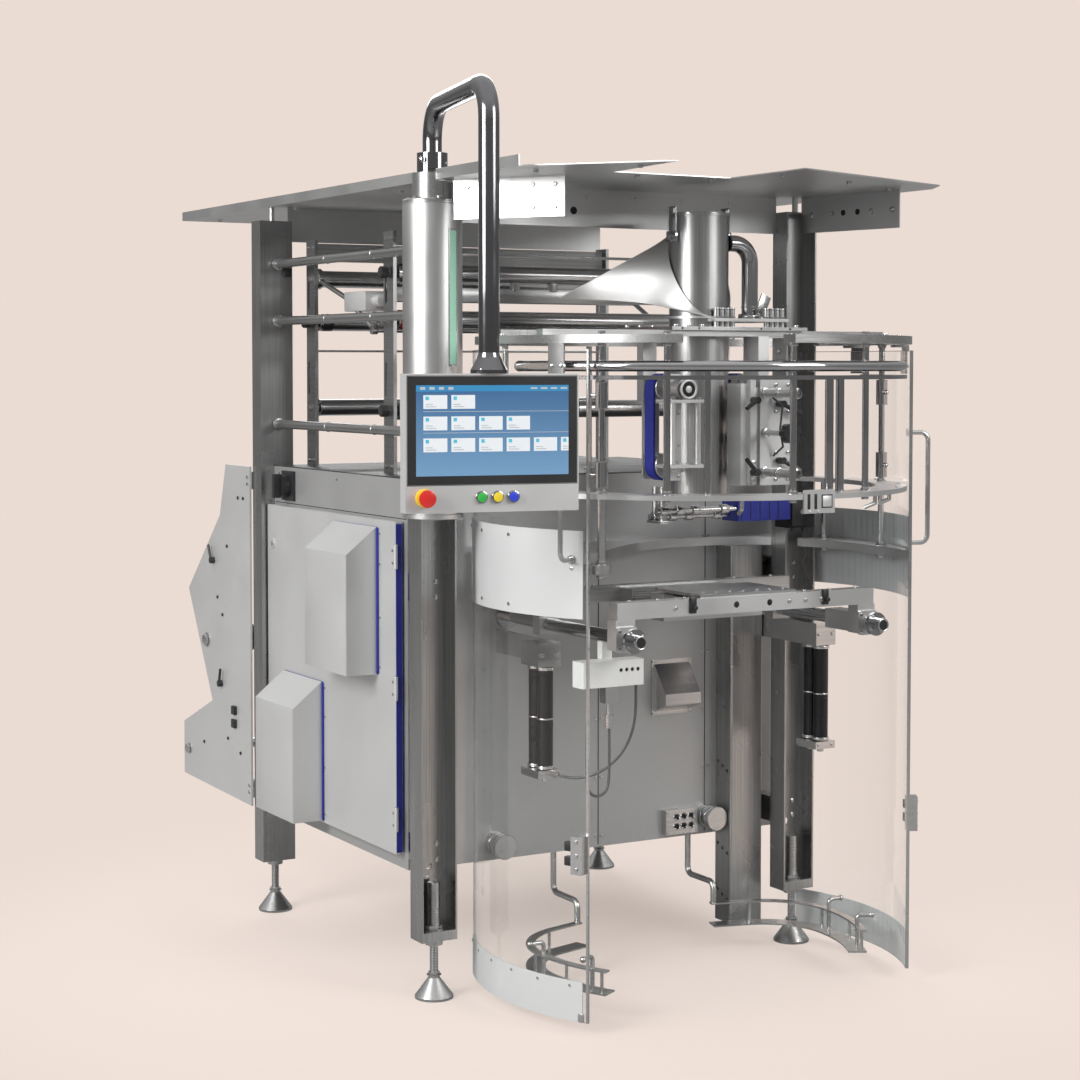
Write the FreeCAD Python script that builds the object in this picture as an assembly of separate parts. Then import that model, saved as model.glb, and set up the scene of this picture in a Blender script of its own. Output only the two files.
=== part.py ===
import FreeCAD, Part
import math
import os

# Vertical form, fill and seal machine, millimetres.
# The origin is the centre of the front left foot's base on the floor.
# X runs to the right along the front, Y to the back, Z up.

# Frame posts and feet
SPAN_X = 1115.0
SPAN_Y = 1036.0
POST_W = 100.0
POST_D = 65.0
POST_T = 5.0
POST_BOTTOM = 150.0
POST_TOP = 2020.0
POST_PLATE = 25.0
POST_HOLE_R = 9.0
POST_HOLE_Z = 330.0
FOOT_BASE_R = 49.0
FOOT_NECK_R = 15.0
FOOT_RIM = 6.0
FOOT_CONE_H = 52.0
STEM_R = 10.0
STUD_R = 15.5
STUD_RISE = 120.0
NUT_R = 22.0
NUT_H = 14.0

# Round column on the front left post
COLUMN_R = 75.0
COLUMN_WALL = 4.0
COLUMN_BASE_Z = 1220.0
COLUMN_DISC_H = 10.0
COLUMN_TOP = 2005.0
LIGHT_W = 22.0
LIGHT_BOTTOM = 1605.0
LIGHT_TOP = 1935.0
LIGHT_PROUD = 1.5
LIGHT_ANGLE = 285.0
CAP_H = 10.0
HUB_R = 50.0
HUB_TOP = 2080.0

# Swinging panel arm
COLLAR_R = 38.5
COLLAR_H = 50.0
COLLAR_GAP = 0.3
COLLAR_EAR = 16.0
ARM_R = 24.15
ARM_TOP = 2244.0
ARM_BEND = 85.0
ARM_REACH = 537.0
ARM_TURN = 257.0
CONE_TOP_R = 24.5
CONE_BASE_R = 43.0
CONE_H = 47.0
PANEL_W = 413.0
PANEL_H = 313.0
PANEL_T = 58.0
PANEL_TOP = 1583.0
PANEL_YAW = -10.0
PANEL_EDGE = 8.0
BEZEL_W = 405.0
BEZEL_H = 248.0
BEZEL_T = 2.0
BEZEL_INSET = 4.0
BUTTON_R = 14.5
BUTTON_RISE = 9.0
BUTTON_Z = 34.0
BUTTON_PITCH = 38.0
BUTTON_FIRST = 178.0
STOP_R = 20.0
STOP_X = 44.0
STOP_RISE = 26.0

# Cabinet
CABINET_BOTTOM = 300.0
CABINET_TOP = 1310.0
CABINET_LEFT = -10.0
CABINET_FRONT = 125.0
MOUNT_W = 80.0
MOUNT_SIDE = 4.0
MOUNT_ZS = [(330.0, 400.0), (1000.0, 1070.0)]
POST_GAP = 1.5
DOOR_T = 19.0
DOOR_SEAL_T = 5.7
DOOR_GAP = 0.3
DOOR_HINGE_Y = 142.0
DOOR_REAR_Y = 994.0
DOOR_TOP_Z = 1200.0
DOOR_BOTTOM_Z = 340.0
SEAL_W = 12.0
SEAL_MARGIN = 15.0
HINGE_R = 5.0
HINGE_L = 60.0
HINGE_ZS = [400.0, 740.0, 1080.0]
HOOD_OUT = 90.0
HOOD_SLOPE = 70.0
HOOD_SEAL_T = 4.0
UPPER_HOOD_Y = 252.0
UPPER_HOOD_Z = 795.0
LOWER_HOOD_Y = 606.0
LOWER_HOOD_Z = 345.0
HOOD_W = 268.0
HOOD_H = 316.0
LATCH_R = 15.0
LATCH_Y = 955.0
LATCH_Z = 1090.0
SWITCH_Y = 890.0
SWITCH_Z = 1258.0
SWITCH_R = 42.0

# Round guard, with its doors on a circle about the forming tube
GUARD_X = 655.0
GUARD_Y = -185.0
GLASS_R = 560.5
GLASS_T = 5.0
GLASS_BOTTOM = 32.0
GLASS_TOP = 1640.0
DOOR_FRONT_DEG = 30.6
DOOR_REAR_DEG = 30.4
CORNER_R = 45.0
BAND_T = 3.0
BAND_BOTTOM = 1000.0
BAND_TOP = 1210.0
SKIRT_TOP = 130.0
EDGE_W = 5.0
EDGE_IN = 1.5
EDGE_OUT = 3.0
HANDLE_R = 6.0
HANDLE_OUT = 52.0
HANDLE_BEND = 20.0
HANDLE_LOW = 1141.0
HANDLE_HIGH = 1428.0
HANDLE_DEG = 26.5
CLAMP_LOW = 392.0
CLAMP_HIGH = 482.0
CLAMP_OUT = 24.0
CLAMP_W = 30.0
HANGER_W = 46.0
HANGER_T = 6.0
HANGER_REACH = 25.0
HANGER_GAP = 0.3
HANGER_DEGS = [-22.0, 4.0]

# Guard cage: rings, rails, rods and floor guides
RING_TOP = 1675.0
RING_T = 20.0
RING_IN = 500.0
RING_OUT = 560.0
RING_GAP_DEG = 234.0
RING_END_DEG = 262.0
RAIL_R = 535.0
RAIL_Z = 1600.0
RAIL_TUBE_R = 13.0
STRIP_Z = 1568.0
STRIP_H = 10.0
STRIP_IN = 512.0
STRIP_OUT = 548.0
CAGE_R = 517.0
CAGE_ROD_R = 8.0
CAGE_DEGS = [212.0, 230.0, 264.0, 291.0, 342.0]
RAIL_ROD_DEG = 240.5
SHELF_ROD_DEGS = [12.0, 342.0]
COLUMN_ROD_DEG = 212.0
SLEEVE_R = 15.0
SLEEVES = [(1310.0, 1372.0), (1500.0, 1562.0)]
LOCK_DEGS = [279.0, 283.5]
LOCK_R = 488.0
LOCK_ROD_R = 10.5
LOCK_PLATE_T = 8.0
LATCH_PLATE_X0 = 607.0
LATCH_PLATE_X1 = 697.0
LATCH_PLATE_Y = -736.0
LATCH_PLATE_T = 5.0
LATCH_PLATE_Z0 = 1252.0
LATCH_PLATE_Z1 = 1308.0
REAR_ROD_DEGS = [50.0, 90.0, 130.0]
MID_RING_Z = 1285.0
MID_RING_H = 12.0
MID_RING_IN = 470.0
MID_RING_OUT = 550.0
TABLE_Z = 1105.0
TABLE_H = 23.0
TABLE_OUT = 552.0
TABLE_EDGE = [(1075, -620), (1118, -440), (1133, -270), (1124, -98), (1050, 48),
              (900, 104), (740, 84), (600, 18), (450, -112), (300, -230), (60, -330)]
GUIDE_IN = 439.0
GUIDE_OUT = 461.0
GUIDE_LOW = 70.0
GUIDE_HIGH = 126.0
GUIDE_T = 4.0
GUIDE_FRONT_DEG = -30.0
GUIDE_TURN_R = 195.0
GUIDE_TURN_DEG = 75.0
GUIDE_LEG = 100.0
GUIDE_SHELF = 26.0
GUIDE_POST_R = 4.0
HOOK_R = 5.5
HOOK_TOP = 158.0
HOOK_REACH = 44.0
HOOK_BEND = 10.0
HOOK_KNOB_R = 8.0
HANGER_ROD_R = 8.0

# Box column on the cabinet's front, right of the jaws
BOX_X0 = 944.0
BOX_X1 = 1050.0
BOX_Y0 = 50.0
BOX_Z0 = 56.0
BOX_Z1 = TABLE_Z
BOX_HOLE_R = 5.0
BOX_HOLE_STEP = 22.0
BOX_HOLE_ROWS = [120.0, 250.0, 480.0]

# Forming set
TUBE_X = 662.0
TUBE_Y = -205.0
TUBE_R = 76.0
TUBE_WALL = 2.0
TUBE_BOTTOM = 1262.0
TUBE_TOP = 1990.0
TUBE_BEAD = 4.0
LATCH_BAR_R = 5.0
FORM_Z = 1690.0
FORM_T = 9.0
FORM_X0 = 500.0
FORM_X1 = 915.0
FORM_Y0 = -330.0
FORM_Y1 = -70.0
CLAMP_Z = 1713.0
CLAMP_T = 8.0
CLAMP_X0 = 640.0
CLAMP_X1 = 870.0
CLAMP_Y0 = -310.0
CLAMP_Y1 = -130.0
STUDS = 4
STUD_KNOB_R = 7.0
THROAT_GAP = 0.3
SHOULDER_T = 2.0
SHOULDER_FOLD_R = 1.6
SHOULDER_CLEAR = 3.0
SHOULDER_FOOT_H = 6.0
SHOULDER_FOOT_T = 7.0
SHOULDER_RISE = 234.0
SHOULDER_FOLD_DEG = 142.0
SHOULDER_EDGE = [(655, -287, 1721), (577, -226, 1743), (543, -112, 1763), (472, -8, 1773),
                 (400, 55, 1777)]
BEAM_YS = [-300.0, -100.0]
BEAM_W = 30.0
PIPE_R = 21.0
PIPE_BEND = 60.0
PIPE_OUT = 92.0
PIPE_TOP = 1915.0

# Film drive and vertical sealer
DRIVE_GRIP = 0.5
DRIVE_TOP = 1580.0
DRIVE_BOTTOM = 1310.0
DRIVE_PLATE_T = 8.0
DRIVE_DEPTH = 110.0
DRIVE_FRAME_OUT = 70.0
DRIVE_FRAME_HALF = 52.0
DRIVE_FRAME_ZS = [1345.0, 1508.0]
DRIVE_FRAME_ROD_R = 8.0
DRIVE_WHEEL_R = 27.0
PULLEY_R = 32.0
BELT_T = 5.0
BELT_W = 40.0
SEALER_X0 = 712.0
SEALER_X1 = 842.0
SEALER_Y = -352.0
SEALER_T = 14.0
SEALER_Z0 = 1298.0
SEALER_Z1 = 1566.0
STUD_IN = 44.0
PIN_L = 140.0
PIN_R = 11.0
PIN_IN = 34.0
KNOB_PIN_L = 96.0
KNOB_R = 25.0

# Cross sealing jaws
JAW_X = 640.0
JAW_SHAFT_X = 362.0
JAW_SHAFT_R = 17.0
JAW_SHAFT_WALL = 5.0
JAW_SHAFT_Z = 945.0
JAW_SHAFT_FRONT = -540.0
JAW_FLANGE_R = 30.0
JAW_SLEEVE_R = 27.0
JAW_HOUSING_BACK = -330.0
JAW_HOUSING_HALF = 25.0
JAW_WALL_R = 34.0
JAW_PLATE_HALF = 31.0
JAW_PLATE_T = 8.0
JAW_PLATE_CORNER = 12.0
JAW_CLEAR = 0.3
BAR_HALF = 385.0
BAR_Y0 = -470.0
BAR_Y1 = -430.0
BAR_Z0 = 992.0
BAR_Z1 = 1033.0
BAR_HOLE_R = 8.0
JAW_HALF = 150.0
JAW_Z0 = 960.0
JAW_Z1 = 1028.0
JAW_OPEN = 45.0
JAW_DEPTH = 60.0
TABLE_PLATE_T = 8.0
TEETH = 24
TOOTH = 12.0

# Lift cylinders under the jaws
LIFT_X = 428.0
LIFT_Y = -150.0
LIFT_R = 24.0
LIFT_PITCH = 44.0
LIFT_Z0 = 590.0
LIFT_Z1 = 850.0
LIFT_PLATE_T = 20.0
LIFT_HEAD = 60.0

# Cable box with its two cables
CBOX_X0 = 184.0
CBOX_X1 = 358.0
CBOX_Y0 = -428.0
CBOX_Y1 = -377.0
CBOX_HANG = 14.0
CBOX_Z0 = 827.0
CBOX_Z1 = 890.0
CABLE_R = 3.5
PLUG_X = 273.0
PLUG_BLOCK = 42.0
PLUG_R = 10.0
PLUG_Z = 723.0
PLUG_L = 34.0
GLAND_X = 240.0
GLAND_L = 30.0
GLAND_R = 8.0
SENSOR_ROUTE = [(217, -402.5, 827), (214, -404, 782), (210, -406, 738), (208, -407, 694),
                (208, -407, 652), (209, -406.5, 614), (210, -406, 590), (214.2, -405.5, 574.5),
                (225.5, -405, 563.2), (241, -404, 559), (256.5, -403.5, 563.2),
                (267.8, -403, 574.5), (272, -402.5, 590), (273.5, -402.5, 614),
                (274, -402.5, 650), (274, -402.5, 684), (273, -402.5, 723)]
LIFT_ROUTE = [(350, -402, 827), (351, -402, 780), (350, -398, 734), (343, -388, 690),
              (329, -371, 651), (309, -347, 618), (285, -318, 595), (262, -286, 583),
              (246, -255, 580), (240, -224, 580)]

# Fittings on the cabinet's front wall
HOUSE_X0 = 738.0
HOUSE_X1 = 852.0
HOUSE_Z0 = 652.0
HOUSE_Z1 = 788.0
HOUSE_OUT = 62.0
HOUSE_BASE = 8.0
HOUSE_BASE_T = 3.0
BLOCK_X0 = 765.0
BLOCK_X1 = 868.0
BLOCK_Z0 = 312.0
BLOCK_Z1 = 380.0
BLOCK_OUT = 24.0
SOCKET_R = 9.0
STUB_R = 32.0
STUB_OUT = 60.0
STUB_LEFT_X = 244.0

# Cooler under the cage
COOLER_X0 = 840.0
COOLER_X1 = 1010.0
COOLER_Y = -130.0
COOLER_D = 76.0
COOLER_Z0 = 1188.0
COOLER_Z1 = 1243.0
COOLER_END = 84.0

# Roof
ROOF_Z = 2060.0
ROOF_T = 3.0
ROOF_FASCIA = 27.0
ROOF_LEFT = -20.0
ROOF_RIGHT = 1240.0
ROOF_BACK = 1720.0
ROOF_MIDDLE = 600.0
ROOF_NOTCH_R = 62.0
VALANCE_T = 4.0
VALANCE_LOW = 1962.0
ROOF_STUD_R = 8.0

# Film path between the posts
FILM_RAIL_R = 12.5
FILM_RAIL_ZS = [1432.0, 1730.0, 1895.0]
BAR_PLATE_W = 60.0
BAR_PLATE_T = 10.0
BAR_PLATE_Y = 390.0
BAR_PLATE_TOP = 1960.0
BAR_PLATE_INSET = 70.0
SLOT_W = 12.0
REAR_PLATE_Y = 905.0
ROLLER_R = 24.0
ROLLER_PIN_R = 8.0
ROLLER_ZS = [1480.0, 1725.0, 1850.0]
ROLLER_GAP = 12.0

# Reel carrier at the back
REEL_PLATE_T = 6.0
REEL_PLATE_X = -60.0
REEL_BEAM_D = 30.0
REEL_BEAM_H = 50.0
REEL_BEAM_ZS = [330.0, 1240.0]
REEL_SHAFT_R = 20.0
REEL_SHAFT_Y = 1420.0
REEL_SHAFT_Z = 760.0
REEL_BAR_R = 16.0


def box(x0, y0, z0, x1, y1, z1):
    """A box between two corners."""
    return Part.makeBox(x1 - x0, y1 - y0, z1 - z0, FreeCAD.Vector(x0, y0, z0))


def rod(start, end, radius):
    """A round bar from one point to another."""
    a = FreeCAD.Vector(*start)
    b = FreeCAD.Vector(*end)
    return Part.makeCylinder(radius, (b - a).Length, a, b - a)


def pipe(start, end, radius, wall):
    """A round tube from one point to another."""
    return rod(start, end, radius).cut(rod(start, end, radius - wall))


def outline(points):
    """A closed face through points."""
    vectors = [FreeCAD.Vector(*p) for p in points]
    return Part.Face(Part.makePolygon(vectors + vectors[:1]))


def prism(points, direction):
    """A face through points, drawn out along a direction."""
    return outline(points).extrude(FreeCAD.Vector(*direction))


def revolved(profile, place):
    """A closed profile of (radius, height) turned about a vertical axis at place."""
    face = outline([(r, 0.0, z) for r, z in profile])
    turned = face.revolve(FreeCAD.Vector(0, 0, 0), FreeCAD.Vector(0, 0, 1), 360)
    turned.translate(FreeCAD.Vector(*place))
    return turned


def sector(r_in, r_out, z0, z1, deg0, deg1, cx=GUARD_X, cy=GUARD_Y):
    """Part of a round wall or ring about a vertical axis."""
    face = outline([(r_in, 0, z0), (r_out, 0, z0), (r_out, 0, z1), (r_in, 0, z1)])
    whole = face.revolve(FreeCAD.Vector(0, 0, 0), FreeCAD.Vector(0, 0, 1), deg1 - deg0)
    whole.rotate(FreeCAD.Vector(0, 0, 0), FreeCAD.Vector(0, 0, 1), deg0)
    whole.translate(FreeCAD.Vector(cx, cy, 0))
    return whole


def on_circle(radius, deg, z=0.0, cx=GUARD_X, cy=GUARD_Y):
    """The point at a radius and angle about the guard's axis."""
    turn = math.radians(deg)
    return (cx + radius * math.cos(turn), cy + radius * math.sin(turn), z)


def bent_path(points, bend):
    """A wire of straight runs joined by tangent arcs of one radius, or a list of radii."""
    nodes = [FreeCAD.Vector(*p) for p in points]
    bends = bend if isinstance(bend, list) else [bend] * (len(nodes) - 2)
    edges = []
    last = nodes[0]
    for i in range(1, len(nodes) - 1):
        before = (nodes[i - 1] - nodes[i]).normalize()
        after = (nodes[i + 1] - nodes[i]).normalize()
        half = before.getAngle(after) / 2
        reach = bends[i - 1] / math.tan(half)
        start = nodes[i] + before * reach
        end = nodes[i] + after * reach
        middle_way = (before + after).normalize()
        centre = nodes[i] + middle_way * (bends[i - 1] / math.sin(half))
        middle = centre - middle_way * bends[i - 1]
        edges.append(Part.LineSegment(last, start).toShape())
        edges.append(Part.Arc(start, middle, end).toShape())
        last = end
    edges.append(Part.LineSegment(last, nodes[-1]).toShape())
    return Part.Wire(edges)


def bent_rod(points, bend, radius):
    """A round bar bent along a path."""
    path = bent_path(points, bend)
    first = path.OrderedEdges[0]
    start = first.valueAt(first.FirstParameter)
    way = first.tangentAt(first.FirstParameter)
    ring = Part.Wire(Part.makeCircle(radius, start, way))
    return path.makePipeShell([ring], True, False)


def fused(shapes):
    """One solid of shapes that meet."""
    first = shapes[0]
    return first.fuse(shapes[1:]).removeSplitter() if len(shapes) > 1 else first


def group(shapes):
    """Several solids in one file."""
    solids = []
    for shape in shapes:
        solids.extend(shape.Solids)
    return Part.makeCompound(solids)


def turned(shape, deg, centre=(0, 0, 0)):
    """A copy turned about a vertical axis."""
    copy = shape.copy()
    copy.rotate(FreeCAD.Vector(*centre), FreeCAD.Vector(0, 0, 1), deg)
    return copy


def mirrored_x(shape, x):
    """A copy mirrored in the plane at x."""
    return shape.mirror(FreeCAD.Vector(x, 0, 0), FreeCAD.Vector(1, 0, 0))


# Frame


def foot(x, y):
    """A levelling foot: cone, stem, lock nut and the stud inside the post."""
    profile = [(0, 0), (FOOT_BASE_R, 0), (FOOT_BASE_R, FOOT_RIM), (FOOT_NECK_R, FOOT_CONE_H),
               (FOOT_NECK_R, FOOT_CONE_H + FOOT_RIM), (STEM_R, FOOT_CONE_H + FOOT_RIM),
               (STEM_R, POST_BOTTOM - NUT_H), (NUT_R, POST_BOTTOM - NUT_H), (NUT_R, POST_BOTTOM),
               (STUD_R, POST_BOTTOM), (STUD_R, POST_BOTTOM + POST_PLATE + STUD_RISE),
               (0, POST_BOTTOM + POST_PLATE + STUD_RISE)]
    return revolved(profile, (x, y, 0))


def channel(x, y, top, open_side):
    """A post: a U channel on a thick plate that the foot's stud screws through."""
    half_w = POST_W / 2
    half_d = POST_D / 2
    body = box(x - half_w, y - half_d, POST_BOTTOM, x + half_w, y + half_d, top)
    y0 = y - half_d - 1 if open_side < 0 else y - half_d + POST_T
    y1 = y + half_d - POST_T if open_side < 0 else y + half_d + 1
    inside = box(x - half_w + POST_T, y0, POST_BOTTOM + POST_PLATE,
                 x + half_w - POST_T, y1, top - POST_T)
    hole = rod((x, y, POST_BOTTOM - 1), (x, y, POST_BOTTOM + POST_PLATE + 1), STUD_R)
    bolt = rod((x, y - POST_D, POST_HOLE_Z), (x, y + POST_D, POST_HOLE_Z), POST_HOLE_R)
    return body.cut([inside, hole, bolt])


def frame_nodes():
    """Feet and posts."""
    leg = box(SPAN_X - POST_W / 2, SPAN_Y - POST_D / 2, POST_BOTTOM,
              SPAN_X + POST_W / 2, SPAN_Y + POST_D / 2, CABINET_BOTTOM)
    stud = rod((SPAN_X, SPAN_Y, POST_BOTTOM - 1),
               (SPAN_X, SPAN_Y, POST_BOTTOM + POST_PLATE + STUD_RISE), STUD_R)
    corners = [(0, 0), (SPAN_X, 0), (0, SPAN_Y), (SPAN_X, SPAN_Y)]
    return {
        "levelling_feet": group([foot(x, y) for x, y in corners]),
        "front_left_post": channel(0, 0, COLUMN_BASE_Z, -1),
        "front_right_post": channel(SPAN_X, 0, POST_TOP, -1),
        "rear_posts": group([channel(0, SPAN_Y, POST_TOP, 1), leg.cut(stud)]),
    }


# Round column, with its status light


def column_nodes():
    """The column on the front left post, its light strip and its cap."""
    foot_z = COLUMN_BASE_Z + COLUMN_DISC_H
    disc = rod((0, 0, COLUMN_BASE_Z), (0, 0, foot_z), COLUMN_R + LIGHT_PROUD)
    shell = pipe((0, 0, foot_z), (0, 0, COLUMN_TOP), COLUMN_R, COLUMN_WALL)
    half = math.degrees(LIGHT_W / 2 / COLUMN_R)
    slot = sector(COLUMN_R - COLUMN_WALL / 2, COLUMN_R + 1, LIGHT_BOTTOM, LIGHT_TOP,
                  LIGHT_ANGLE - half, LIGHT_ANGLE + half, 0, 0)
    strip = sector(COLUMN_R - COLUMN_WALL / 2, COLUMN_R + LIGHT_PROUD, LIGHT_BOTTOM, LIGHT_TOP,
                   LIGHT_ANGLE - half, LIGHT_ANGLE + half, 0, 0)
    ring = COLUMN_TOP + CAP_H
    cap = revolved([(0, COLUMN_TOP), (COLUMN_R, COLUMN_TOP), (COLUMN_R, ring - 3),
                    (COLUMN_R - 3, ring), (HUB_R, ring), (HUB_R, HUB_TOP), (0, HUB_TOP)],
                   (0, 0, 0))
    return {
        "round_column": fused([disc, shell]).cut(slot),
        "column_light": strip,
        "column_cap": cap,
    }


# Operator panel on its swinging arm


def arm_end():
    """Where the arm comes down over the panel."""
    turn = math.radians(ARM_TURN)
    return (ARM_REACH * math.cos(turn), ARM_REACH * math.sin(turn))


def arm_nodes():
    """The clamp collar, the bent tube and the cone over the panel."""
    low = HUB_TOP + COLLAR_GAP
    high = low + COLLAR_H
    collar = rod((0, 0, low), (0, 0, high), COLLAR_R)
    collar = collar.cut(rod((0, 0, low + COLLAR_H / 2), (0, 0, high + 1), ARM_R))
    ear = box(-COLLAR_R - COLLAR_EAR, -COLLAR_EAR / 2, low + COLLAR_EAR / 2,
              -ARM_R, COLLAR_EAR / 2, high - COLLAR_EAR / 2)
    collar = turned(fused([collar, ear.cut(rod((0, 0, low), (0, 0, high + 1), ARM_R))]), 60)
    ex, ey = arm_end()
    rim = PANEL_TOP + COLLAR_GAP
    cone_top = rim + CONE_H
    tube = bent_rod([(0, 0, low + COLLAR_H / 2), (0, 0, ARM_TOP), (ex, ey, ARM_TOP),
                     (ex, ey, rim)], ARM_BEND, ARM_R)
    cone = revolved([(0, rim), (CONE_BASE_R, rim), (CONE_BASE_R, rim + 8),
                     (CONE_TOP_R + 3, cone_top - 10), (CONE_TOP_R, cone_top), (0, cone_top)],
                    (ex, ey, 0))
    socket = rod((ex, ey, rim), (ex, ey, cone_top), ARM_R)
    return {"arm_collars": group([collar, cone.cut(socket)]), "panel_arm": tube}


def panel_nodes():
    """The operator panel: housing, glass front and its row of buttons."""
    ex, ey = arm_end()
    front = ey - PANEL_T / 2
    low = PANEL_TOP - PANEL_H
    left = ex - PANEL_W / 2
    housing = box(left, front, low, left + PANEL_W, front + PANEL_T, PANEL_TOP)
    back_edges = [e for e in housing.Edges if e.CenterOfMass.y > front + PANEL_T - 1]
    housing = housing.makeChamfer(PANEL_EDGE * 2, back_edges)
    glass_x = ex - BEZEL_W / 2
    glass_z = PANEL_TOP - BEZEL_INSET - BEZEL_H
    pocket = box(glass_x, front - 1, glass_z, glass_x + BEZEL_W, front + BEZEL_T,
                 glass_z + BEZEL_H)
    glass = box(glass_x, front, glass_z, glass_x + BEZEL_W, front + BEZEL_T,
                glass_z + BEZEL_H)
    button_z = low + BUTTON_Z
    buttons = []
    for i in range(3):
        x = left + BUTTON_FIRST + i * BUTTON_PITCH
        ring = rod((x, front, button_z), (x, front - BUTTON_RISE / 2, button_z), BUTTON_R)
        cap = rod((x, front, button_z), (x, front - BUTTON_RISE, button_z), BUTTON_R - 3)
        buttons.append(fused([ring, cap]))
    x = left + STOP_X
    base = rod((x, front, button_z), (x, front - STOP_RISE / 2, button_z), BUTTON_R)
    head = Part.makeCone(STOP_R - 4, STOP_R, STOP_RISE / 2,
                         FreeCAD.Vector(x, front - STOP_RISE / 2, button_z),
                         FreeCAD.Vector(0, -1, 0))
    buttons.append(fused([base, head]))
    nodes = {
        "panel_housing": housing.cut(pocket),
        "panel_glass": glass,
        "panel_buttons": group(buttons),
    }
    return {name: turned(shape, PANEL_YAW, (ex, ey, 0)) for name, shape in nodes.items()}


# Cabinet and its side door


def cabinet_outline(z):
    """The cabinet's plan, with its corners cut away round the posts."""
    post_x = POST_W / 2 + POST_GAP
    post_y = POST_D / 2 + POST_GAP
    right = SPAN_X + POST_W / 2
    back = SPAN_Y + POST_D / 2
    return [(CABINET_LEFT, CABINET_FRONT, z), (right, CABINET_FRONT, z), (right, back, z),
            (post_x, back, z), (post_x, SPAN_Y - post_y, z),
            (CABINET_LEFT, SPAN_Y - post_y, z)]


def cabinet_nodes():
    """The closed cabinet, with blocks that join it to the two front posts."""
    tall = prism(cabinet_outline(CABINET_BOTTOM), (0, 0, CABINET_TOP - CABINET_BOTTOM))
    mounts = []
    for x0, x1 in ((CABINET_LEFT, MOUNT_W / 2), (SPAN_X - MOUNT_W / 2, SPAN_X - MOUNT_SIDE)):
        for low, high in MOUNT_ZS:
            mounts.append(box(x0, POST_D / 2, low, x1, CABINET_FRONT, high))
    return {"cabinet_body": tall, "post_brackets": group(mounts)}


def side_door_nodes():
    """The door on the left side, its hoods, seals and lock, and its hinge pins."""
    outer = CABINET_LEFT - DOOR_GAP - DOOR_SEAL_T - DOOR_T
    inner = outer + DOOR_T
    leaf = box(outer, DOOR_HINGE_Y + 2, DOOR_BOTTOM_Z, inner, DOOR_REAR_Y, DOOR_TOP_Z)
    knuckles = [rod((outer - 0.5, DOOR_HINGE_Y, z), (outer - 0.5, DOOR_HINGE_Y, z + HINGE_L),
                    HINGE_R) for z in HINGE_ZS]
    lock = rod((outer, LATCH_Y, LATCH_Z), (outer - 4, LATCH_Y, LATCH_Z), LATCH_R)
    grip = box(outer - 8, LATCH_Y - 3, LATCH_Z - 10, outer - 4, LATCH_Y + 3, LATCH_Z + 10)
    y0 = DOOR_HINGE_Y + SEAL_MARGIN
    y1 = DOOR_REAR_Y - SEAL_MARGIN
    z0 = DOOR_BOTTOM_Z + SEAL_MARGIN
    z1 = DOOR_TOP_Z - SEAL_MARGIN
    seal_out = box(inner, y0, z0, inner + DOOR_SEAL_T, y1, z1)
    seal_in = box(inner, y0 + SEAL_W, z0 + SEAL_W, inner + DOOR_SEAL_T, y1 - SEAL_W, z1 - SEAL_W)
    seals = [seal_out.cut(seal_in)]
    hoods = []
    for y, z in ((UPPER_HOOD_Y, UPPER_HOOD_Z), (LOWER_HOOD_Y, LOWER_HOOD_Z)):
        base = outer - HOOD_SEAL_T
        face = outer - HOOD_OUT
        hoods.append(prism([(base, y, z), (face, y, z), (face, y, z + HOOD_H),
                            (base, y, z + HOOD_H + HOOD_SLOPE)], (0, HOOD_W, 0)))
        seals.append(box(base, y, z, outer, y + HOOD_W, z + HOOD_H + HOOD_SLOPE))
    return {
        "side_door": fused([leaf, lock, grip] + knuckles),
        "side_door_hoods": group(hoods),
        "side_door_seals": group(seals),
    }


def switch_nodes():
    """The rotary main switch above the side door."""
    x = CABINET_LEFT
    plate = box(x - 8, SWITCH_Y - SWITCH_R, SWITCH_Z - SWITCH_R,
                x, SWITCH_Y + SWITCH_R, SWITCH_Z + SWITCH_R)
    dial = rod((x - 8, SWITCH_Y, SWITCH_Z), (x - 30, SWITCH_Y, SWITCH_Z), SWITCH_R - 10)
    grip = box(x - 52, SWITCH_Y - 8, SWITCH_Z - SWITCH_R + 8,
               x - 30, SWITCH_Y + 8, SWITCH_Z + SWITCH_R - 8)
    return {"main_switch": fused([plate, dial, grip])}


# Guard doors


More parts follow.
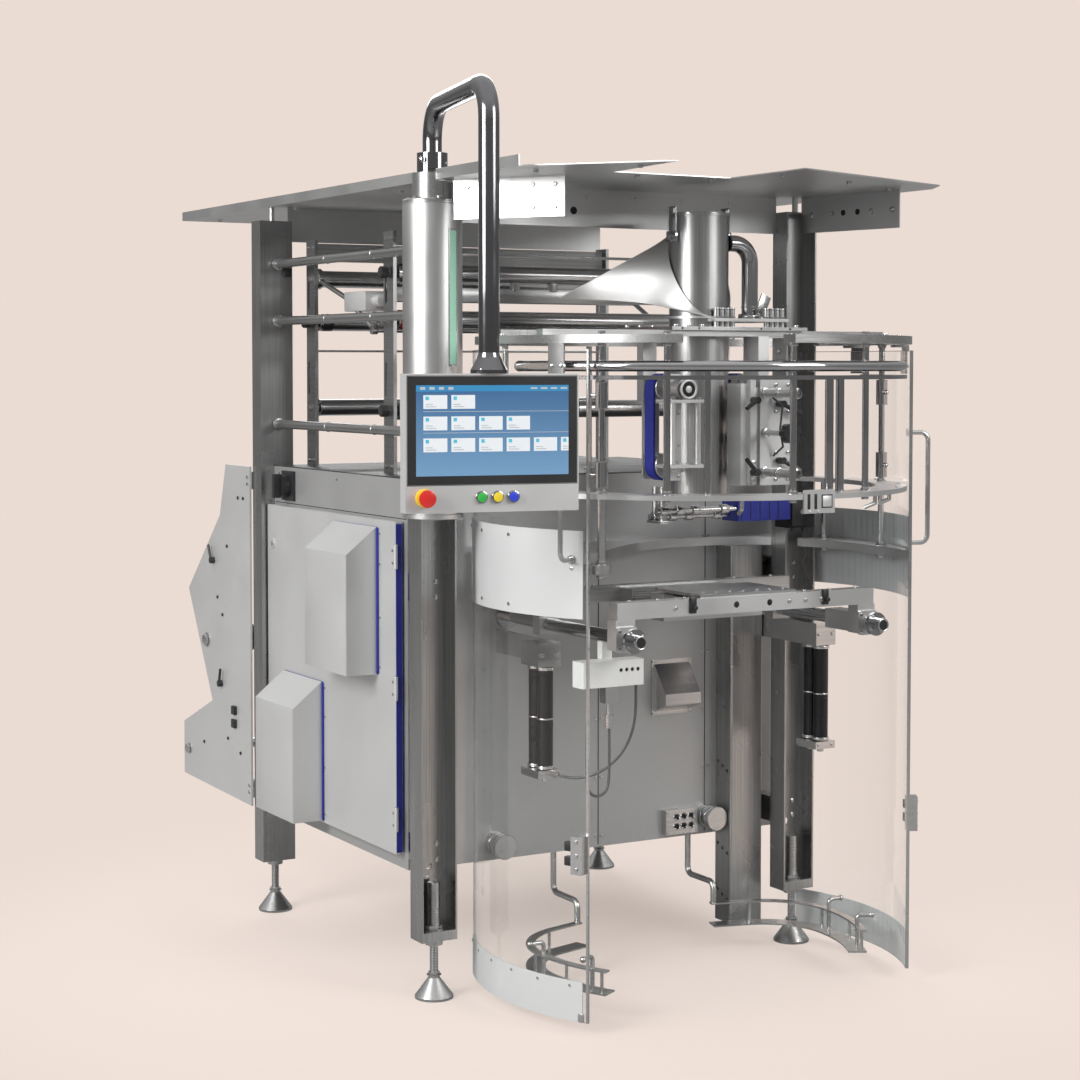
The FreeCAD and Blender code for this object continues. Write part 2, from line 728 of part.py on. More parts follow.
def guard_door(side):
    """One curved door, as seen on the right; side -1 mirrors it to the left."""
    deg0 = -DOOR_FRONT_DEG
    deg1 = DOOR_REAR_DEG
    outer = GLASS_R + GLASS_T
    glass = sector(GLASS_R, outer, GLASS_BOTTOM, GLASS_TOP, deg0, deg1)
    corner_deg = deg1 - math.degrees(CORNER_R / GLASS_R)
    corner = sector(GLASS_R - 1, outer + 1, GLASS_BOTTOM - 1, GLASS_BOTTOM + CORNER_R,
                    corner_deg, deg1 + 1)
    turn_at = GLASS_BOTTOM + CORNER_R
    rounded = rod(on_circle(GLASS_R - 20, corner_deg, turn_at),
                  on_circle(outer + 20, corner_deg, turn_at), CORNER_R)
    glass = glass.cut(corner.cut(rounded))
    band = sector(outer, outer + BAND_T, BAND_BOTTOM, BAND_TOP, deg0 + 1, deg1)
    skirt = sector(outer, outer + BAND_T, GLASS_BOTTOM, SKIRT_TOP, deg0 + 1, corner_deg - 1)
    edge_deg = math.degrees(EDGE_W / GLASS_R)
    edge = sector(GLASS_R - EDGE_IN + 1, outer + EDGE_OUT, GLASS_BOTTOM, GLASS_TOP,
                  deg0 - edge_deg, deg0)
    r_low = outer
    handle = bent_rod([on_circle(r_low, -HANDLE_DEG, HANDLE_LOW),
                       on_circle(r_low + HANDLE_OUT, -HANDLE_DEG, HANDLE_LOW),
                       on_circle(r_low + HANDLE_OUT, -HANDLE_DEG, HANDLE_HIGH),
                       on_circle(r_low, -HANDLE_DEG, HANDLE_HIGH)], HANDLE_BEND, HANDLE_R)
    handle = handle.cut(sector(GLASS_R - 20, outer + BAND_T, HANDLE_LOW - 20, BAND_TOP,
                               deg0, deg1))
    clamp = sector(outer, outer + CLAMP_OUT, CLAMP_LOW, CLAMP_HIGH, deg0,
                   deg0 + math.degrees(CLAMP_W / outer))
    hangers = []
    shelf = RING_TOP - RING_T - HANGER_GAP
    for deg in HANGER_DEGS:
        turn = math.degrees(HANGER_W / 2 / GLASS_R)
        strap = sector(outer, outer + HANGER_T, GLASS_TOP - 60, shelf, deg - turn, deg + turn)
        foot = sector(RING_OUT - HANGER_REACH, outer + 1, shelf - HANGER_T, shelf,
                      deg - turn, deg + turn)
        hangers.append(fused([strap, foot]))
    parts = {
        "glass": glass,
        "bands": group([band, skirt]),
        "fittings": group([edge, handle, clamp] + hangers),
    }
    if side < 0:
        parts = {name: mirrored_x(shape, GUARD_X) for name, shape in parts.items()}
    word = "left" if side < 0 else "right"
    return {f"{word}_guard_{name}": shape for name, shape in parts.items()}


# Guard cage


def post_notch():
    """The space that the front right post takes in the rings."""
    half_w = POST_W / 2 + POST_GAP
    half_d = POST_D / 2 + POST_GAP
    return box(SPAN_X - half_w, -half_d, 0, SPAN_X + half_w, half_d, POST_TOP)


def shelf():
    """The shelf under the cage, with its curved front edge."""
    disc = rod((GUARD_X, GUARD_Y, TABLE_Z), (GUARD_X, GUARD_Y, TABLE_Z + TABLE_H), TABLE_OUT)
    edge = Part.BSplineCurve()
    edge.interpolate([FreeCAD.Vector(x, y, TABLE_Z - 1) for x, y in TABLE_EDGE])
    first = FreeCAD.Vector(*TABLE_EDGE[0], TABLE_Z - 1)
    last = FreeCAD.Vector(*TABLE_EDGE[-1], TABLE_Z - 1)
    far = GUARD_Y - 2 * TABLE_OUT
    front = outline([(last.x, last.y, last.z), (last.x, far, last.z), (first.x, far, last.z),
                     (first.x, first.y, first.z)])
    sides = [e for e in front.Edges if e.CenterOfMass.y < first.y - 1]
    face = Part.Face(Part.Wire(Part.__sortEdges__([edge.toShape()] + sides)))
    return disc.cut(face.extrude(FreeCAD.Vector(0, 0, TABLE_H + 2)))


def cage_nodes():
    """Rings, round front rail, strip, shelf and rods of the guard's frame."""
    ring = sector(RING_IN, RING_OUT, RING_TOP - RING_T, RING_TOP,
                  RING_END_DEG - 360, RING_GAP_DEG)
    mid = sector(MID_RING_IN, MID_RING_OUT, MID_RING_Z, MID_RING_Z + MID_RING_H, 130, 410)
    wall = box(0, CABINET_FRONT, CABINET_BOTTOM, SPAN_X, SPAN_Y, CABINET_TOP)
    rail_circle = Part.makeTorus(RAIL_R, RAIL_TUBE_R, FreeCAD.Vector(GUARD_X, GUARD_Y, RAIL_Z),
                                 FreeCAD.Vector(0, 0, 1), 0, 360, 170)
    rail = turned(rail_circle, 185, (GUARD_X, GUARD_Y, 0))
    strip = sector(STRIP_IN, STRIP_OUT, STRIP_Z, STRIP_Z + STRIP_H, 185, 355)
    low = TABLE_Z + TABLE_H
    mid_top = MID_RING_Z + MID_RING_H
    ring_low = RING_TOP - RING_T
    uppers = [rod(on_circle(CAGE_R, d, mid_top), on_circle(CAGE_R, d, ring_low), CAGE_ROD_R)
              for d in CAGE_DEGS]
    uppers.append(rod(on_circle(CAGE_R, RAIL_ROD_DEG, mid_top),
                      on_circle(CAGE_R, RAIL_ROD_DEG, RAIL_Z), CAGE_ROD_R))
    for d in (COLUMN_ROD_DEG, SHELF_ROD_DEGS[1]):
        uppers.extend(rod(on_circle(CAGE_R, d, a), on_circle(CAGE_R, d, b), SLEEVE_R)
                      for a, b in SLEEVES)
    lowers = [rod(on_circle(CAGE_R, d, low), on_circle(CAGE_R, d, MID_RING_Z), CAGE_ROD_R)
              for d in SHELF_ROD_DEGS]
    column = rod(on_circle(CAGE_R, COLUMN_ROD_DEG, low - TABLE_H),
                 on_circle(CAGE_R, COLUMN_ROD_DEG, MID_RING_Z), CAGE_ROD_R + 2)
    pivot = rod(on_circle(CAGE_R, COLUMN_ROD_DEG, low - TABLE_H),
                on_circle(CAGE_R, COLUMN_ROD_DEG, low), SLEEVE_R + 8)
    rear = [rod(on_circle(CAGE_R, d, CABINET_TOP), on_circle(CAGE_R, d, ring_low), CAGE_ROD_R)
            for d in REAR_ROD_DEGS]
    lock_rods = [rod(on_circle(LOCK_R, d, mid_top), on_circle(LOCK_R, d, STRIP_Z), LOCK_ROD_R)
                 for d in LOCK_DEGS]
    lock_plate = sector(LOCK_R - 18, STRIP_IN + 4, STRIP_Z, STRIP_Z + LOCK_PLATE_T,
                        LOCK_DEGS[0] - 3, LOCK_DEGS[1] + 3)
    latch = box(LATCH_PLATE_X0, LATCH_PLATE_Y, LATCH_PLATE_Z0, LATCH_PLATE_X1,
                LATCH_PLATE_Y + LATCH_PLATE_T, LATCH_PLATE_Z1)
    notch = post_notch()
    return {
        "upper_guard_ring": ring.cut(notch),
        "guard_rails": fused([rail, strip, lock_plate] + uppers + lock_rods),
        "cage_rods": group(lowers + rear + [fused([column, pivot])]),
        "lower_guard_rings": group([fused([mid.cut([notch, wall]), latch]),
                                    shelf().cut([notch, wall])]),
    }


def guide_strip(r_in, r_out, z0, z1):
    """One strip of the right floor guide: an arc, a tighter turn and a straight leg."""
    middle = (GUIDE_IN + GUIDE_OUT) / 2
    cx = GUARD_X + middle - GUIDE_TURN_R
    shift = GUIDE_TURN_R - middle
    arc = sector(r_in, r_out, z0, z1, GUIDE_FRONT_DEG, 0)
    turn = sector(r_in + shift, r_out + shift, z0, z1, 0, GUIDE_TURN_DEG, cx)
    near = on_circle(r_in + shift, GUIDE_TURN_DEG, z0, cx)
    far = on_circle(r_out + shift, GUIDE_TURN_DEG, z0, cx)
    lean = math.radians(GUIDE_TURN_DEG + 90)
    step = (GUIDE_LEG * math.cos(lean), GUIDE_LEG * math.sin(lean))
    leg = prism([near, far, (far[0] + step[0], far[1] + step[1], z0),
                 (near[0] + step[0], near[1] + step[1], z0)], (0, 0, z1 - z0))
    return fused([arc, turn, leg])


def floor_guide(side):
    """A curved floor guide of two strips with posts between, its hooks and its hanger."""
    top = GUIDE_HIGH + GUIDE_T
    strips = [guide_strip(GUIDE_IN - GUIDE_SHELF, GUIDE_OUT, GUIDE_LOW, GUIDE_LOW + GUIDE_T),
              guide_strip(GUIDE_IN, GUIDE_OUT, GUIDE_HIGH, top)]
    middle = (GUIDE_IN + GUIDE_OUT) / 2
    cx = GUARD_X + middle - GUIDE_TURN_R
    spots = [on_circle(middle, d) for d in (GUIDE_FRONT_DEG + 2, -14)]
    spots += [on_circle(GUIDE_TURN_R, d, 0, cx) for d in (8, GUIDE_TURN_DEG - 4)]
    posts = [rod((x, y, GUIDE_LOW), (x, y, top), GUIDE_POST_R) for x, y, z in spots]
    hooks = []
    for d in (-24.0, -1.0):
        hooks.append(bent_rod([on_circle(GUIDE_IN + HOOK_R, d, GUIDE_LOW),
                               on_circle(GUIDE_IN + HOOK_R, d, HOOK_TOP),
                               on_circle(GUIDE_IN + HOOK_REACH, d, HOOK_TOP)],
                              HOOK_BEND, HOOK_R))
        tip = on_circle(GUIDE_IN + HOOK_REACH, d, HOOK_TOP)
        hooks.append(Part.makeSphere(HOOK_KNOB_R, FreeCAD.Vector(*tip)))
    lean = math.radians(GUIDE_TURN_DEG + 90)
    turn_end = on_circle(GUIDE_TURN_R, GUIDE_TURN_DEG, 0, cx)
    foot_x = turn_end[0] + (GUIDE_LEG - HANGER_ROD_R) * math.cos(lean)
    foot_y = turn_end[1] + (GUIDE_LEG - HANGER_ROD_R) * math.sin(lean)
    bar_z = GUIDE_HIGH + 60
    bar_y = CABINET_FRONT + 30
    hanger = bent_rod([(foot_x, foot_y, GUIDE_HIGH), (foot_x, foot_y, bar_z),
                       (foot_x, bar_y, bar_z), (foot_x, bar_y, CABINET_BOTTOM)],
                      20, HANGER_ROD_R)
    guide = fused(strips + posts + hooks + [hanger])
    return mirrored_x(guide, GUARD_X) if side < 0 else guide


def box_column_nodes():
    """The tall box column on the cabinet's front, with its groups of holes."""
    column = box(BOX_X0, BOX_Y0, BOX_Z0, BOX_X1, CABINET_FRONT, BOX_Z1)
    column = column.makeFillet(6.0, [e for e in column.Edges if e.Length > BOX_Z1 - BOX_Z0 - 1
                                     and e.CenterOfMass.y < BOX_Y0 + 1])
    holes = []
    for z in BOX_HOLE_ROWS:
        for i in range(3):
            y = BOX_Y0 + 18 + i * BOX_HOLE_STEP
            up = z + i * BOX_HOLE_STEP / 2
            holes.append(rod((BOX_X0 - 1, y, up), (BOX_X0 + 8, y, up), BOX_HOLE_R))
    return {"box_column": column.cut(holes)}


# Forming set


def forming_nodes():
    """Forming tube with its rim latches, shoulder, gas pipe and mounting plates."""
    tube = pipe((TUBE_X, TUBE_Y, TUBE_BOTTOM), (TUBE_X, TUBE_Y, TUBE_TOP), TUBE_R, TUBE_WALL)
    bead = pipe((TUBE_X, TUBE_Y, TUBE_TOP - 8), (TUBE_X, TUBE_Y, TUBE_TOP),
                TUBE_R + TUBE_BEAD, TUBE_BEAD + TUBE_WALL)
    latches = []
    for sign in (-1, 1):
        x = TUBE_X + sign * (TUBE_R + LATCH_BAR_R - 1)
        post = box(x - LATCH_BAR_R, TUBE_Y - 7, TUBE_TOP - 70, x + LATCH_BAR_R, TUBE_Y + 7,
                   TUBE_TOP + 14)
        latches.append(post)
    hole_r = TUBE_R + THROAT_GAP
    throat = rod((TUBE_X, TUBE_Y, FORM_Z - 100), (TUBE_X, TUBE_Y, FORM_Z + 300), hole_r)
    form = box(FORM_X0, FORM_Y0, FORM_Z, FORM_X1, FORM_Y1, FORM_Z + FORM_T)
    clamp = box(CLAMP_X0, CLAMP_Y0, CLAMP_Z, CLAMP_X1, CLAMP_Y1, CLAMP_Z + CLAMP_T)
    studs = []
    for x in (CLAMP_X0 + 15, CLAMP_X1 - 60):
        for i in range(STUDS):
            at = x + i * 16
            studs.append(rod((at, CLAMP_Y0 + 14, FORM_Z + FORM_T - 1),
                             (at, CLAMP_Y0 + 14, CLAMP_Z + CLAMP_T + 22), STUD_KNOB_R))
    beams = []
    for y in BEAM_YS:
        half = math.sqrt(((RING_IN + RING_OUT) / 2) ** 2 - (y - GUARD_Y) ** 2)
        beams.append(box(GUARD_X - half, y - BEAM_W / 2, RING_TOP, GUARD_X + half,
                         y + BEAM_W / 2, FORM_Z))
    px, py = TUBE_X + TUBE_R, TUBE_Y - 30
    gas = bent_rod([(px - 6, py, PIPE_TOP), (px + PIPE_OUT - 30, py, PIPE_TOP),
                    (px + PIPE_OUT - 30, py, CLAMP_Z + CLAMP_T)], PIPE_BEND - 10, PIPE_R)
    gas = gas.cut(rod((TUBE_X, TUBE_Y, PIPE_TOP - 60), (TUBE_X, TUBE_Y, PIPE_TOP + 60), TUBE_R))
    return {
        "forming_tube": fused([tube, bead] + [p.cut(rod((TUBE_X, TUBE_Y, TUBE_BOTTOM),
                                                       (TUBE_X, TUBE_Y, TUBE_TOP + 50),
                                                       TUBE_R - TUBE_WALL)) for p in latches]),
        "former_plates": group([fused([form.cut(throat), clamp.cut(throat)] + studs)] + beams),
        "gas_pipe": gas,
    }


def neck_point(deg):
    """A point of the shoulder's neck, deg from the front round to the back."""
    turn = math.radians(270 - deg)
    r = TUBE_R + SHOULDER_CLEAR
    up = SHOULDER_EDGE[0][2] + SHOULDER_RISE * (1 - math.cos(math.radians(deg))) / 2
    return FreeCAD.Vector(TUBE_X + r * math.cos(turn), TUBE_Y + r * math.sin(turn), up)


def smooth_edge(points):
    """A smooth edge through points."""
    curve = Part.BSplineCurve()
    curve.interpolate([FreeCAD.Vector(*p) for p in points])
    return curve.toShape()


def forming_shoulder():
    """The thin folded collar that turns the film from behind down round the tube."""
    steps = len(SHOULDER_EDGE) - 1
    neck = smooth_edge([neck_point(4 + (SHOULDER_FOLD_DEG - 4) * i / steps)
                        for i in range(steps + 1)])
    tip = FreeCAD.Vector(*SHOULDER_EDGE[-1])
    middle = FreeCAD.Vector(TUBE_X, tip.y, tip.z)
    back = smooth_edge([neck_point(SHOULDER_FOLD_DEG + (180 - SHOULDER_FOLD_DEG) * i / 3)
                        for i in range(4)])
    wing = Part.makeRuledSurface(neck, smooth_edge(SHOULDER_EDGE))
    slope = Part.makeRuledSurface(back, Part.makeLine(tip, middle))
    fold = rod(tuple(neck_point(SHOULDER_FOLD_DEG)), SHOULDER_EDGE[-1], SHOULDER_FOLD_R)
    half = wing.makeOffsetShape(SHOULDER_T, 0.1, fill=True).fuse(
        [slope.makeOffsetShape(SHOULDER_T, 0.1, fill=True), fold])
    base = CLAMP_Z + CLAMP_T
    foot = pipe((TUBE_X, TUBE_Y, base), (TUBE_X, TUBE_Y, base + SHOULDER_FOOT_H),
                TUBE_R + THROAT_GAP + SHOULDER_FOOT_T, SHOULDER_FOOT_T)
    return half.fuse([mirrored_x(half, TUBE_X), foot])


# Film drive and vertical sealer


def drive_unit(side):
    """A belt unit beside the tube: two side plates with pulleys between them."""
    x = TUBE_X + side * (TUBE_R + PULLEY_R + BELT_T + DRIVE_GRIP)
    y0 = TUBE_Y - DRIVE_DEPTH / 2
    y1 = y0 + DRIVE_DEPTH
    plates = []
    for y in (y0, y1 - DRIVE_PLATE_T):
        plates.append(box(x - PULLEY_R + 8, y, DRIVE_BOTTOM, x + PULLEY_R - 8,
                          y + DRIVE_PLATE_T, DRIVE_TOP))
    middle = (y0 + y1) / 2
    rounds = []
    for z in (DRIVE_BOTTOM + PULLEY_R + 4, DRIVE_TOP - PULLEY_R - 4):
        rounds.append(rod((x, y0 + 1, z), (x, y1 - 1, z), 8.0))
        rounds.append(rod((x, middle - BELT_W / 2, z), (x, middle + BELT_W / 2, z), PULLEY_R))
    stem = box(x - 20, y1 - 1, DRIVE_TOP - 70, x + 20, y1 + 30, FORM_Z)
    frame = []
    if side < 0:
        front = y0 - DRIVE_FRAME_OUT
        for z in DRIVE_FRAME_ZS:
            frame.append(box(x - DRIVE_FRAME_HALF, front, z, x + DRIVE_FRAME_HALF, y0 + 1,
                             z + DRIVE_PLATE_T))
        for dx in (14 - DRIVE_FRAME_HALF, DRIVE_FRAME_HALF - 14):
            frame.append(rod((x + dx, front + 14, DRIVE_FRAME_ZS[0]),
                             (x + dx, front + 14, DRIVE_FRAME_ZS[1]), DRIVE_FRAME_ROD_R))
        wheel_z = DRIVE_FRAME_ZS[1] + DRIVE_PLATE_T + DRIVE_WHEEL_R - 1
        frame.append(rod((x, front + 10, wheel_z), (x, y0 + 1, wheel_z), DRIVE_WHEEL_R))
    return fused(plates + rounds + [stem] + frame)


def drive_belt(side):
    """The toothed belt of a unit, one fixed loop."""
    x = TUBE_X + side * (TUBE_R + PULLEY_R + BELT_T + DRIVE_GRIP)
    middle = TUBE_Y
    low = DRIVE_BOTTOM + PULLEY_R + 4
    high = DRIVE_TOP - PULLEY_R - 4
    shapes = []
    for r in (PULLEY_R + BELT_T, PULLEY_R):
        ends = [rod((x, middle - BELT_W / 2, z), (x, middle + BELT_W / 2, z), r)
                for z in (low, high)]
        run = box(x - r, middle - BELT_W / 2, low, x + r, middle + BELT_W / 2, high)
        shapes.append(fused(ends + [run]))
    return shapes[0].cut(shapes[1])


def sealer_nodes():
    """The vertical sealer's plate with its spacer studs, levers and star knob."""
    front = SEALER_Y - SEALER_T
    middle = (SEALER_Z0 + SEALER_Z1) / 2
    plate = box(SEALER_X0 + 30, front, SEALER_Z0, SEALER_X1, SEALER_Y, SEALER_Z1)
    side = box(SEALER_X0 - 20, SEALER_Y, SEALER_Z0, SEALER_X0 + 12, SEALER_Y + 60, SEALER_Z1 - 10)
    lip = box(SEALER_X0, front, SEALER_Z0, SEALER_X0 + 16, SEALER_Y + 1, SEALER_Z1)
    tie = box(SEALER_X0 + 10, SEALER_Y - 6, SEALER_Z0 + 20, SEALER_X0 + 40, SEALER_Y + 10,
              SEALER_Z1 - 20)
    stud_x = SEALER_X0 + STUD_IN
    studs = [rod((stud_x, front, z), (stud_x, front - PIN_L, z), PIN_R)
             for z in (SEALER_Z0 + PIN_IN, SEALER_Z1 - PIN_IN)]
    studs.append(rod((stud_x, front, middle), (stud_x, front - KNOB_PIN_L, middle), PIN_R - 4))
    rear = box(SEALER_X1 - 40, SEALER_Y, SEALER_Z0 + 40, SEALER_X1 + 16, SEALER_Y + 26,
               SEALER_Z1 - 50)
    arm = box(SEALER_X0 + 34, SEALER_Y, SEALER_Z1 - 40, SEALER_X0 + 66,
              BEAM_YS[0] + BEAM_W / 2, RING_TOP)
    levers = []
    for z, drop in ((SEALER_Z0 + 34, 34), (SEALER_Z1 - 52, -20)):
        at = (SEALER_X0 + 8, front, z)
        hub = rod(at, (at[0], front - 24, z), 9)
        grip = rod((at[0], front - 18, z), (at[0] - 40, front - 30, z + drop), 5.5)
        levers.append(fused([hub, grip]))
    star = rod((stud_x, front - KNOB_PIN_L, middle), (stud_x, front - KNOB_PIN_L - 22, middle),
               KNOB_R)
    bites = [rod((stud_x + (KNOB_R + 5) * math.cos(math.radians(a)), front - KNOB_PIN_L + 1,
                  middle + (KNOB_R + 5) * math.sin(math.radians(a))),
                 (stud_x + (KNOB_R + 5) * math.cos(math.radians(a)), front - KNOB_PIN_L - 23,
                  middle + (KNOB_R + 5) * math.sin(math.radians(a))), 9)
             for a in range(30, 390, 60)]
    return {
        "vertical_sealer": fused([plate, side, lip, tie, rear, arm] + studs),
        "sealer_knobs": group(levers + [star.cut(bites)]),
    }


# Cross sealing jaws


def jaw_sleeves(y0, y1):
    """Two sleeves that slide on the guide shafts."""
    sleeves = []
    for sign in (-1, 1):
        x = JAW_X + sign * JAW_SHAFT_X
        block = box(x - JAW_SLEEVE_R, y0, JAW_SHAFT_Z - JAW_SLEEVE_R,
                    x + JAW_SLEEVE_R, y1, BAR_Z0)
        sleeves.append(block.cut(rod((x, y0 - 1, JAW_SHAFT_Z), (x, y1 + 1, JAW_SHAFT_Z),
                                     JAW_SHAFT_R + JAW_CLEAR)))
    return sleeves


def jaw_plate(x):
    """A rounded end plate in front of a sleeve."""
    half = JAW_PLATE_HALF
    plate = box(x - half, BAR_Y0 - JAW_PLATE_T, JAW_SHAFT_Z - half, x + half, BAR_Y0,
                JAW_SHAFT_Z + half)
    plate = plate.makeFillet(JAW_PLATE_CORNER, [e for e in plate.Edges
                                                if abs(e.tangentAt(0).y) > 0.9])
    return plate.cut(rod((x, BAR_Y0 - 20, JAW_SHAFT_Z), (x, BAR_Y0 + 1, JAW_SHAFT_Z),
                         JAW_SHAFT_R + JAW_CLEAR))


def jaw_front():
    """The front bar with its sleeves, the toothed plate and the front sealing jaw."""
    bar = box(JAW_X - BAR_HALF, BAR_Y0, BAR_Z0, JAW_X + BAR_HALF, BAR_Y1, BAR_Z1)
    holes = [rod((JAW_X + dx, BAR_Y0 - 1, (BAR_Z0 + BAR_Z1) / 2),
                 (JAW_X + dx, BAR_Y1 + 1, (BAR_Z0 + BAR_Z1) / 2), BAR_HOLE_R)
             for dx in (-40, 60)]
    close_y = TUBE_Y - JAW_OPEN
    jaw = box(JAW_X - JAW_HALF, close_y - JAW_DEPTH, JAW_Z0, JAW_X + JAW_HALF, close_y, JAW_Z1)
    web = box(JAW_X - JAW_HALF + 30, BAR_Y1 - 1, BAR_Z0, JAW_X + JAW_HALF - 30,
              close_y - JAW_DEPTH + 1, BAR_Z1 - 10)
    plate_half = TEETH * TOOTH / 2
    points = [(JAW_X + plate_half, BAR_Y0 + 5, BAR_Z1), (JAW_X - plate_half, BAR_Y0 + 5, BAR_Z1)]
    for i in range(TEETH):
        x = JAW_X - plate_half + i * TOOTH
        points.append((x, close_y - TOOTH, BAR_Z1))
        points.append((x + TOOTH / 2, close_y, BAR_Z1))
    points.append((JAW_X + plate_half, close_y - TOOTH, BAR_Z1))
    plate = prism(points, (0, 0, TABLE_PLATE_T))
    sleeves = jaw_sleeves(BAR_Y0, BAR_Y1)
    right = JAW_X + JAW_SHAFT_X
    housing = box(right - JAW_HOUSING_HALF, BAR_Y1 - 1, JAW_SHAFT_Z - JAW_HOUSING_HALF,
                  right + JAW_HOUSING_HALF, JAW_HOUSING_BACK, JAW_SHAFT_Z + JAW_HOUSING_HALF)
    sleeves.append(housing.cut(rod((right, BAR_Y0, JAW_SHAFT_Z),
                                   (right, JAW_HOUSING_BACK + 1, JAW_SHAFT_Z),
                                   JAW_SHAFT_R + JAW_CLEAR)))
    sleeves += [jaw_plate(JAW_X + sign * JAW_SHAFT_X) for sign in (-1, 1)]
    return {
        "front_jaw": fused([bar.cut(holes), jaw, web] + sleeves),
        "front_jaw_plate": plate,
    }


def jaw_rear():
    """The rear sealing jaw on its cross bar and sleeves."""
    open_y = TUBE_Y + JAW_OPEN
    jaw = box(JAW_X - JAW_HALF, open_y, JAW_Z0, JAW_X + JAW_HALF, open_y + JAW_DEPTH, JAW_Z1)
    bar = box(JAW_X - JAW_SHAFT_X - JAW_SLEEVE_R, open_y + JAW_DEPTH - 1, BAR_Z0,
              JAW_X + JAW_SHAFT_X + JAW_SLEEVE_R, open_y + JAW_DEPTH + 35, BAR_Z1)
    sleeves = jaw_sleeves(open_y + JAW_DEPTH - 1, open_y + JAW_DEPTH + 35)
    return {"rear_jaw": fused([jaw, bar] + sleeves)}


def jaw_guide_nodes():
    """The two hollow shafts, with end collars, that carry the jaws."""
    shafts = []
    for sign, wall in ((-1, CABINET_FRONT), (1, BOX_Y0)):
        x = JAW_X + sign * JAW_SHAFT_X
        shaft = pipe((x, JAW_SHAFT_FRONT, JAW_SHAFT_Z), (x, wall, JAW_SHAFT_Z),
                     JAW_SHAFT_R, JAW_SHAFT_WALL)
        collar = pipe((x, JAW_SHAFT_FRONT + 26, JAW_SHAFT_Z),
                      (x, JAW_SHAFT_FRONT + 36, JAW_SHAFT_Z), JAW_FLANGE_R,
                      JAW_FLANGE_R - JAW_SHAFT_R + 1)
        flange = pipe((x, wall - 14, JAW_SHAFT_Z), (x, wall, JAW_SHAFT_Z),
                      JAW_WALL_R, JAW_WALL_R - JAW_SHAFT_R + 1)
        shafts.append(fused([shaft, collar, flange]))
    return {"jaw_shafts": group(shafts)}


def lift_nodes():
    """The paired black cylinders under each end of the jaws, with heads and feet."""
    blacks = []
    heads = []
    for sign in (-1, 1):
        x = GUARD_X + sign * LIFT_X
        for dy in (-LIFT_PITCH / 2, LIFT_PITCH / 2):
            blacks.append(rod((x, LIFT_Y + dy, LIFT_Z0), (x, LIFT_Y + dy, LIFT_Z1), LIFT_R - 4))
        half = LIFT_R + 8
        foot_plate = box(x - half, LIFT_Y - LIFT_PITCH, LIFT_Z0 - LIFT_PLATE_T,
                         x + half, LIFT_Y + LIFT_PITCH, LIFT_Z0)
        head = box(x - half, LIFT_Y - LIFT_PITCH, LIFT_Z1, x + half, LIFT_Y + LIFT_PITCH,
                   LIFT_Z1 + LIFT_HEAD)
        side = x + sign * -1 * (half - 12)
        web = box(min(side, side - sign * 12), LIFT_Y + LIFT_PITCH - 1, LIFT_Z1,
                  max(side, side - sign * 12), CABINET_FRONT, LIFT_Z1 + LIFT_HEAD)
        heads.append(fused([head, web]))
        heads.append(foot_plate)
    gland_y = LIFT_Y - LIFT_PITCH
    gland_z = LIFT_Z0 - LIFT_PLATE_T / 2
    heads.append(rod((GLAND_X, gland_y, gland_z), (GLAND_X, gland_y - GLAND_L, gland_z), GLAND_R))
    return {"lift_cylinders": group(blacks), "lift_heads": group(heads)}


# Cable box and cables


def cable_box_nodes():
    """The white cable box under the left jaw shaft, with its hanger and connectors."""
    body = box(CBOX_X0, CBOX_Y0, CBOX_Z0, CBOX_X1, CBOX_Y1, CBOX_Z1)
    body = body.makeFillet(5.0, [e for e in body.Edges if abs(e.tangentAt(0).z) > 0.9])
    for i in range(4):
        x = CBOX_X1 - 18 - i * 16
        body = body.cut(rod((x, CBOX_Y0 - 1, CBOX_Z1 - 24), (x, CBOX_Y0 + 6, CBOX_Z1 - 24), 5))
    shaft_x = JAW_X - JAW_SHAFT_X
    low = JAW_SHAFT_Z - JAW_SHAFT_R
    hang_y = CBOX_Y1 + CBOX_HANG
    hanger = box(shaft_x - 14, CBOX_Y1 - 8, CBOX_Z1 - 1, shaft_x + 14, hang_y, low + 4)
    hanger = hanger.cut(rod((shaft_x, CBOX_Y0, JAW_SHAFT_Z), (shaft_x, hang_y, JAW_SHAFT_Z),
                            JAW_SHAFT_R))
    plug_y = (CBOX_Y0 + CBOX_Y1) / 2
    plug = fused([
        box(PLUG_X - 18, plug_y - 14, CBOX_Z0 - PLUG_BLOCK, PLUG_X + 18, plug_y + 14, CBOX_Z0),
        rod((PLUG_X, plug_y, PLUG_Z + PLUG_L - 1), (PLUG_X, plug_y, CBOX_Z0 - PLUG_BLOCK), 6),
        rod((PLUG_X, plug_y, PLUG_Z), (PLUG_X, plug_y, PLUG_Z + PLUG_L), PLUG_R),
    ])
    return {"cable_box": fused([body, hanger]), "cable_plug": plug}


def cord(points):
    """A cable's tube: straight runs joined by arcs as large as the runs allow."""
    nodes = [FreeCAD.Vector(*p) for p in points]
    radii = []
    for i in range(1, len(nodes) - 1):
        before = nodes[i] - nodes[i - 1]
        after = nodes[i + 1] - nodes[i]
        turn = before.getAngle(after)
        radii.append(0.45 * min(before.Length, after.Length) / math.tan(turn / 2))
    path = bent_path(points, radii)
    print("cord length", round(path.Length, 1), "radii", [round(r) for r in radii])
    return bent_rod(points, radii, CABLE_R)


def cable_nodes():
    """The sensor cable that loops back to the box and the cable to the left lift cylinder."""
    return {"sensor_cable": cord(SENSOR_ROUTE), "lift_cable": cord(LIFT_ROUTE)}


# Fittings on the cabinet's front


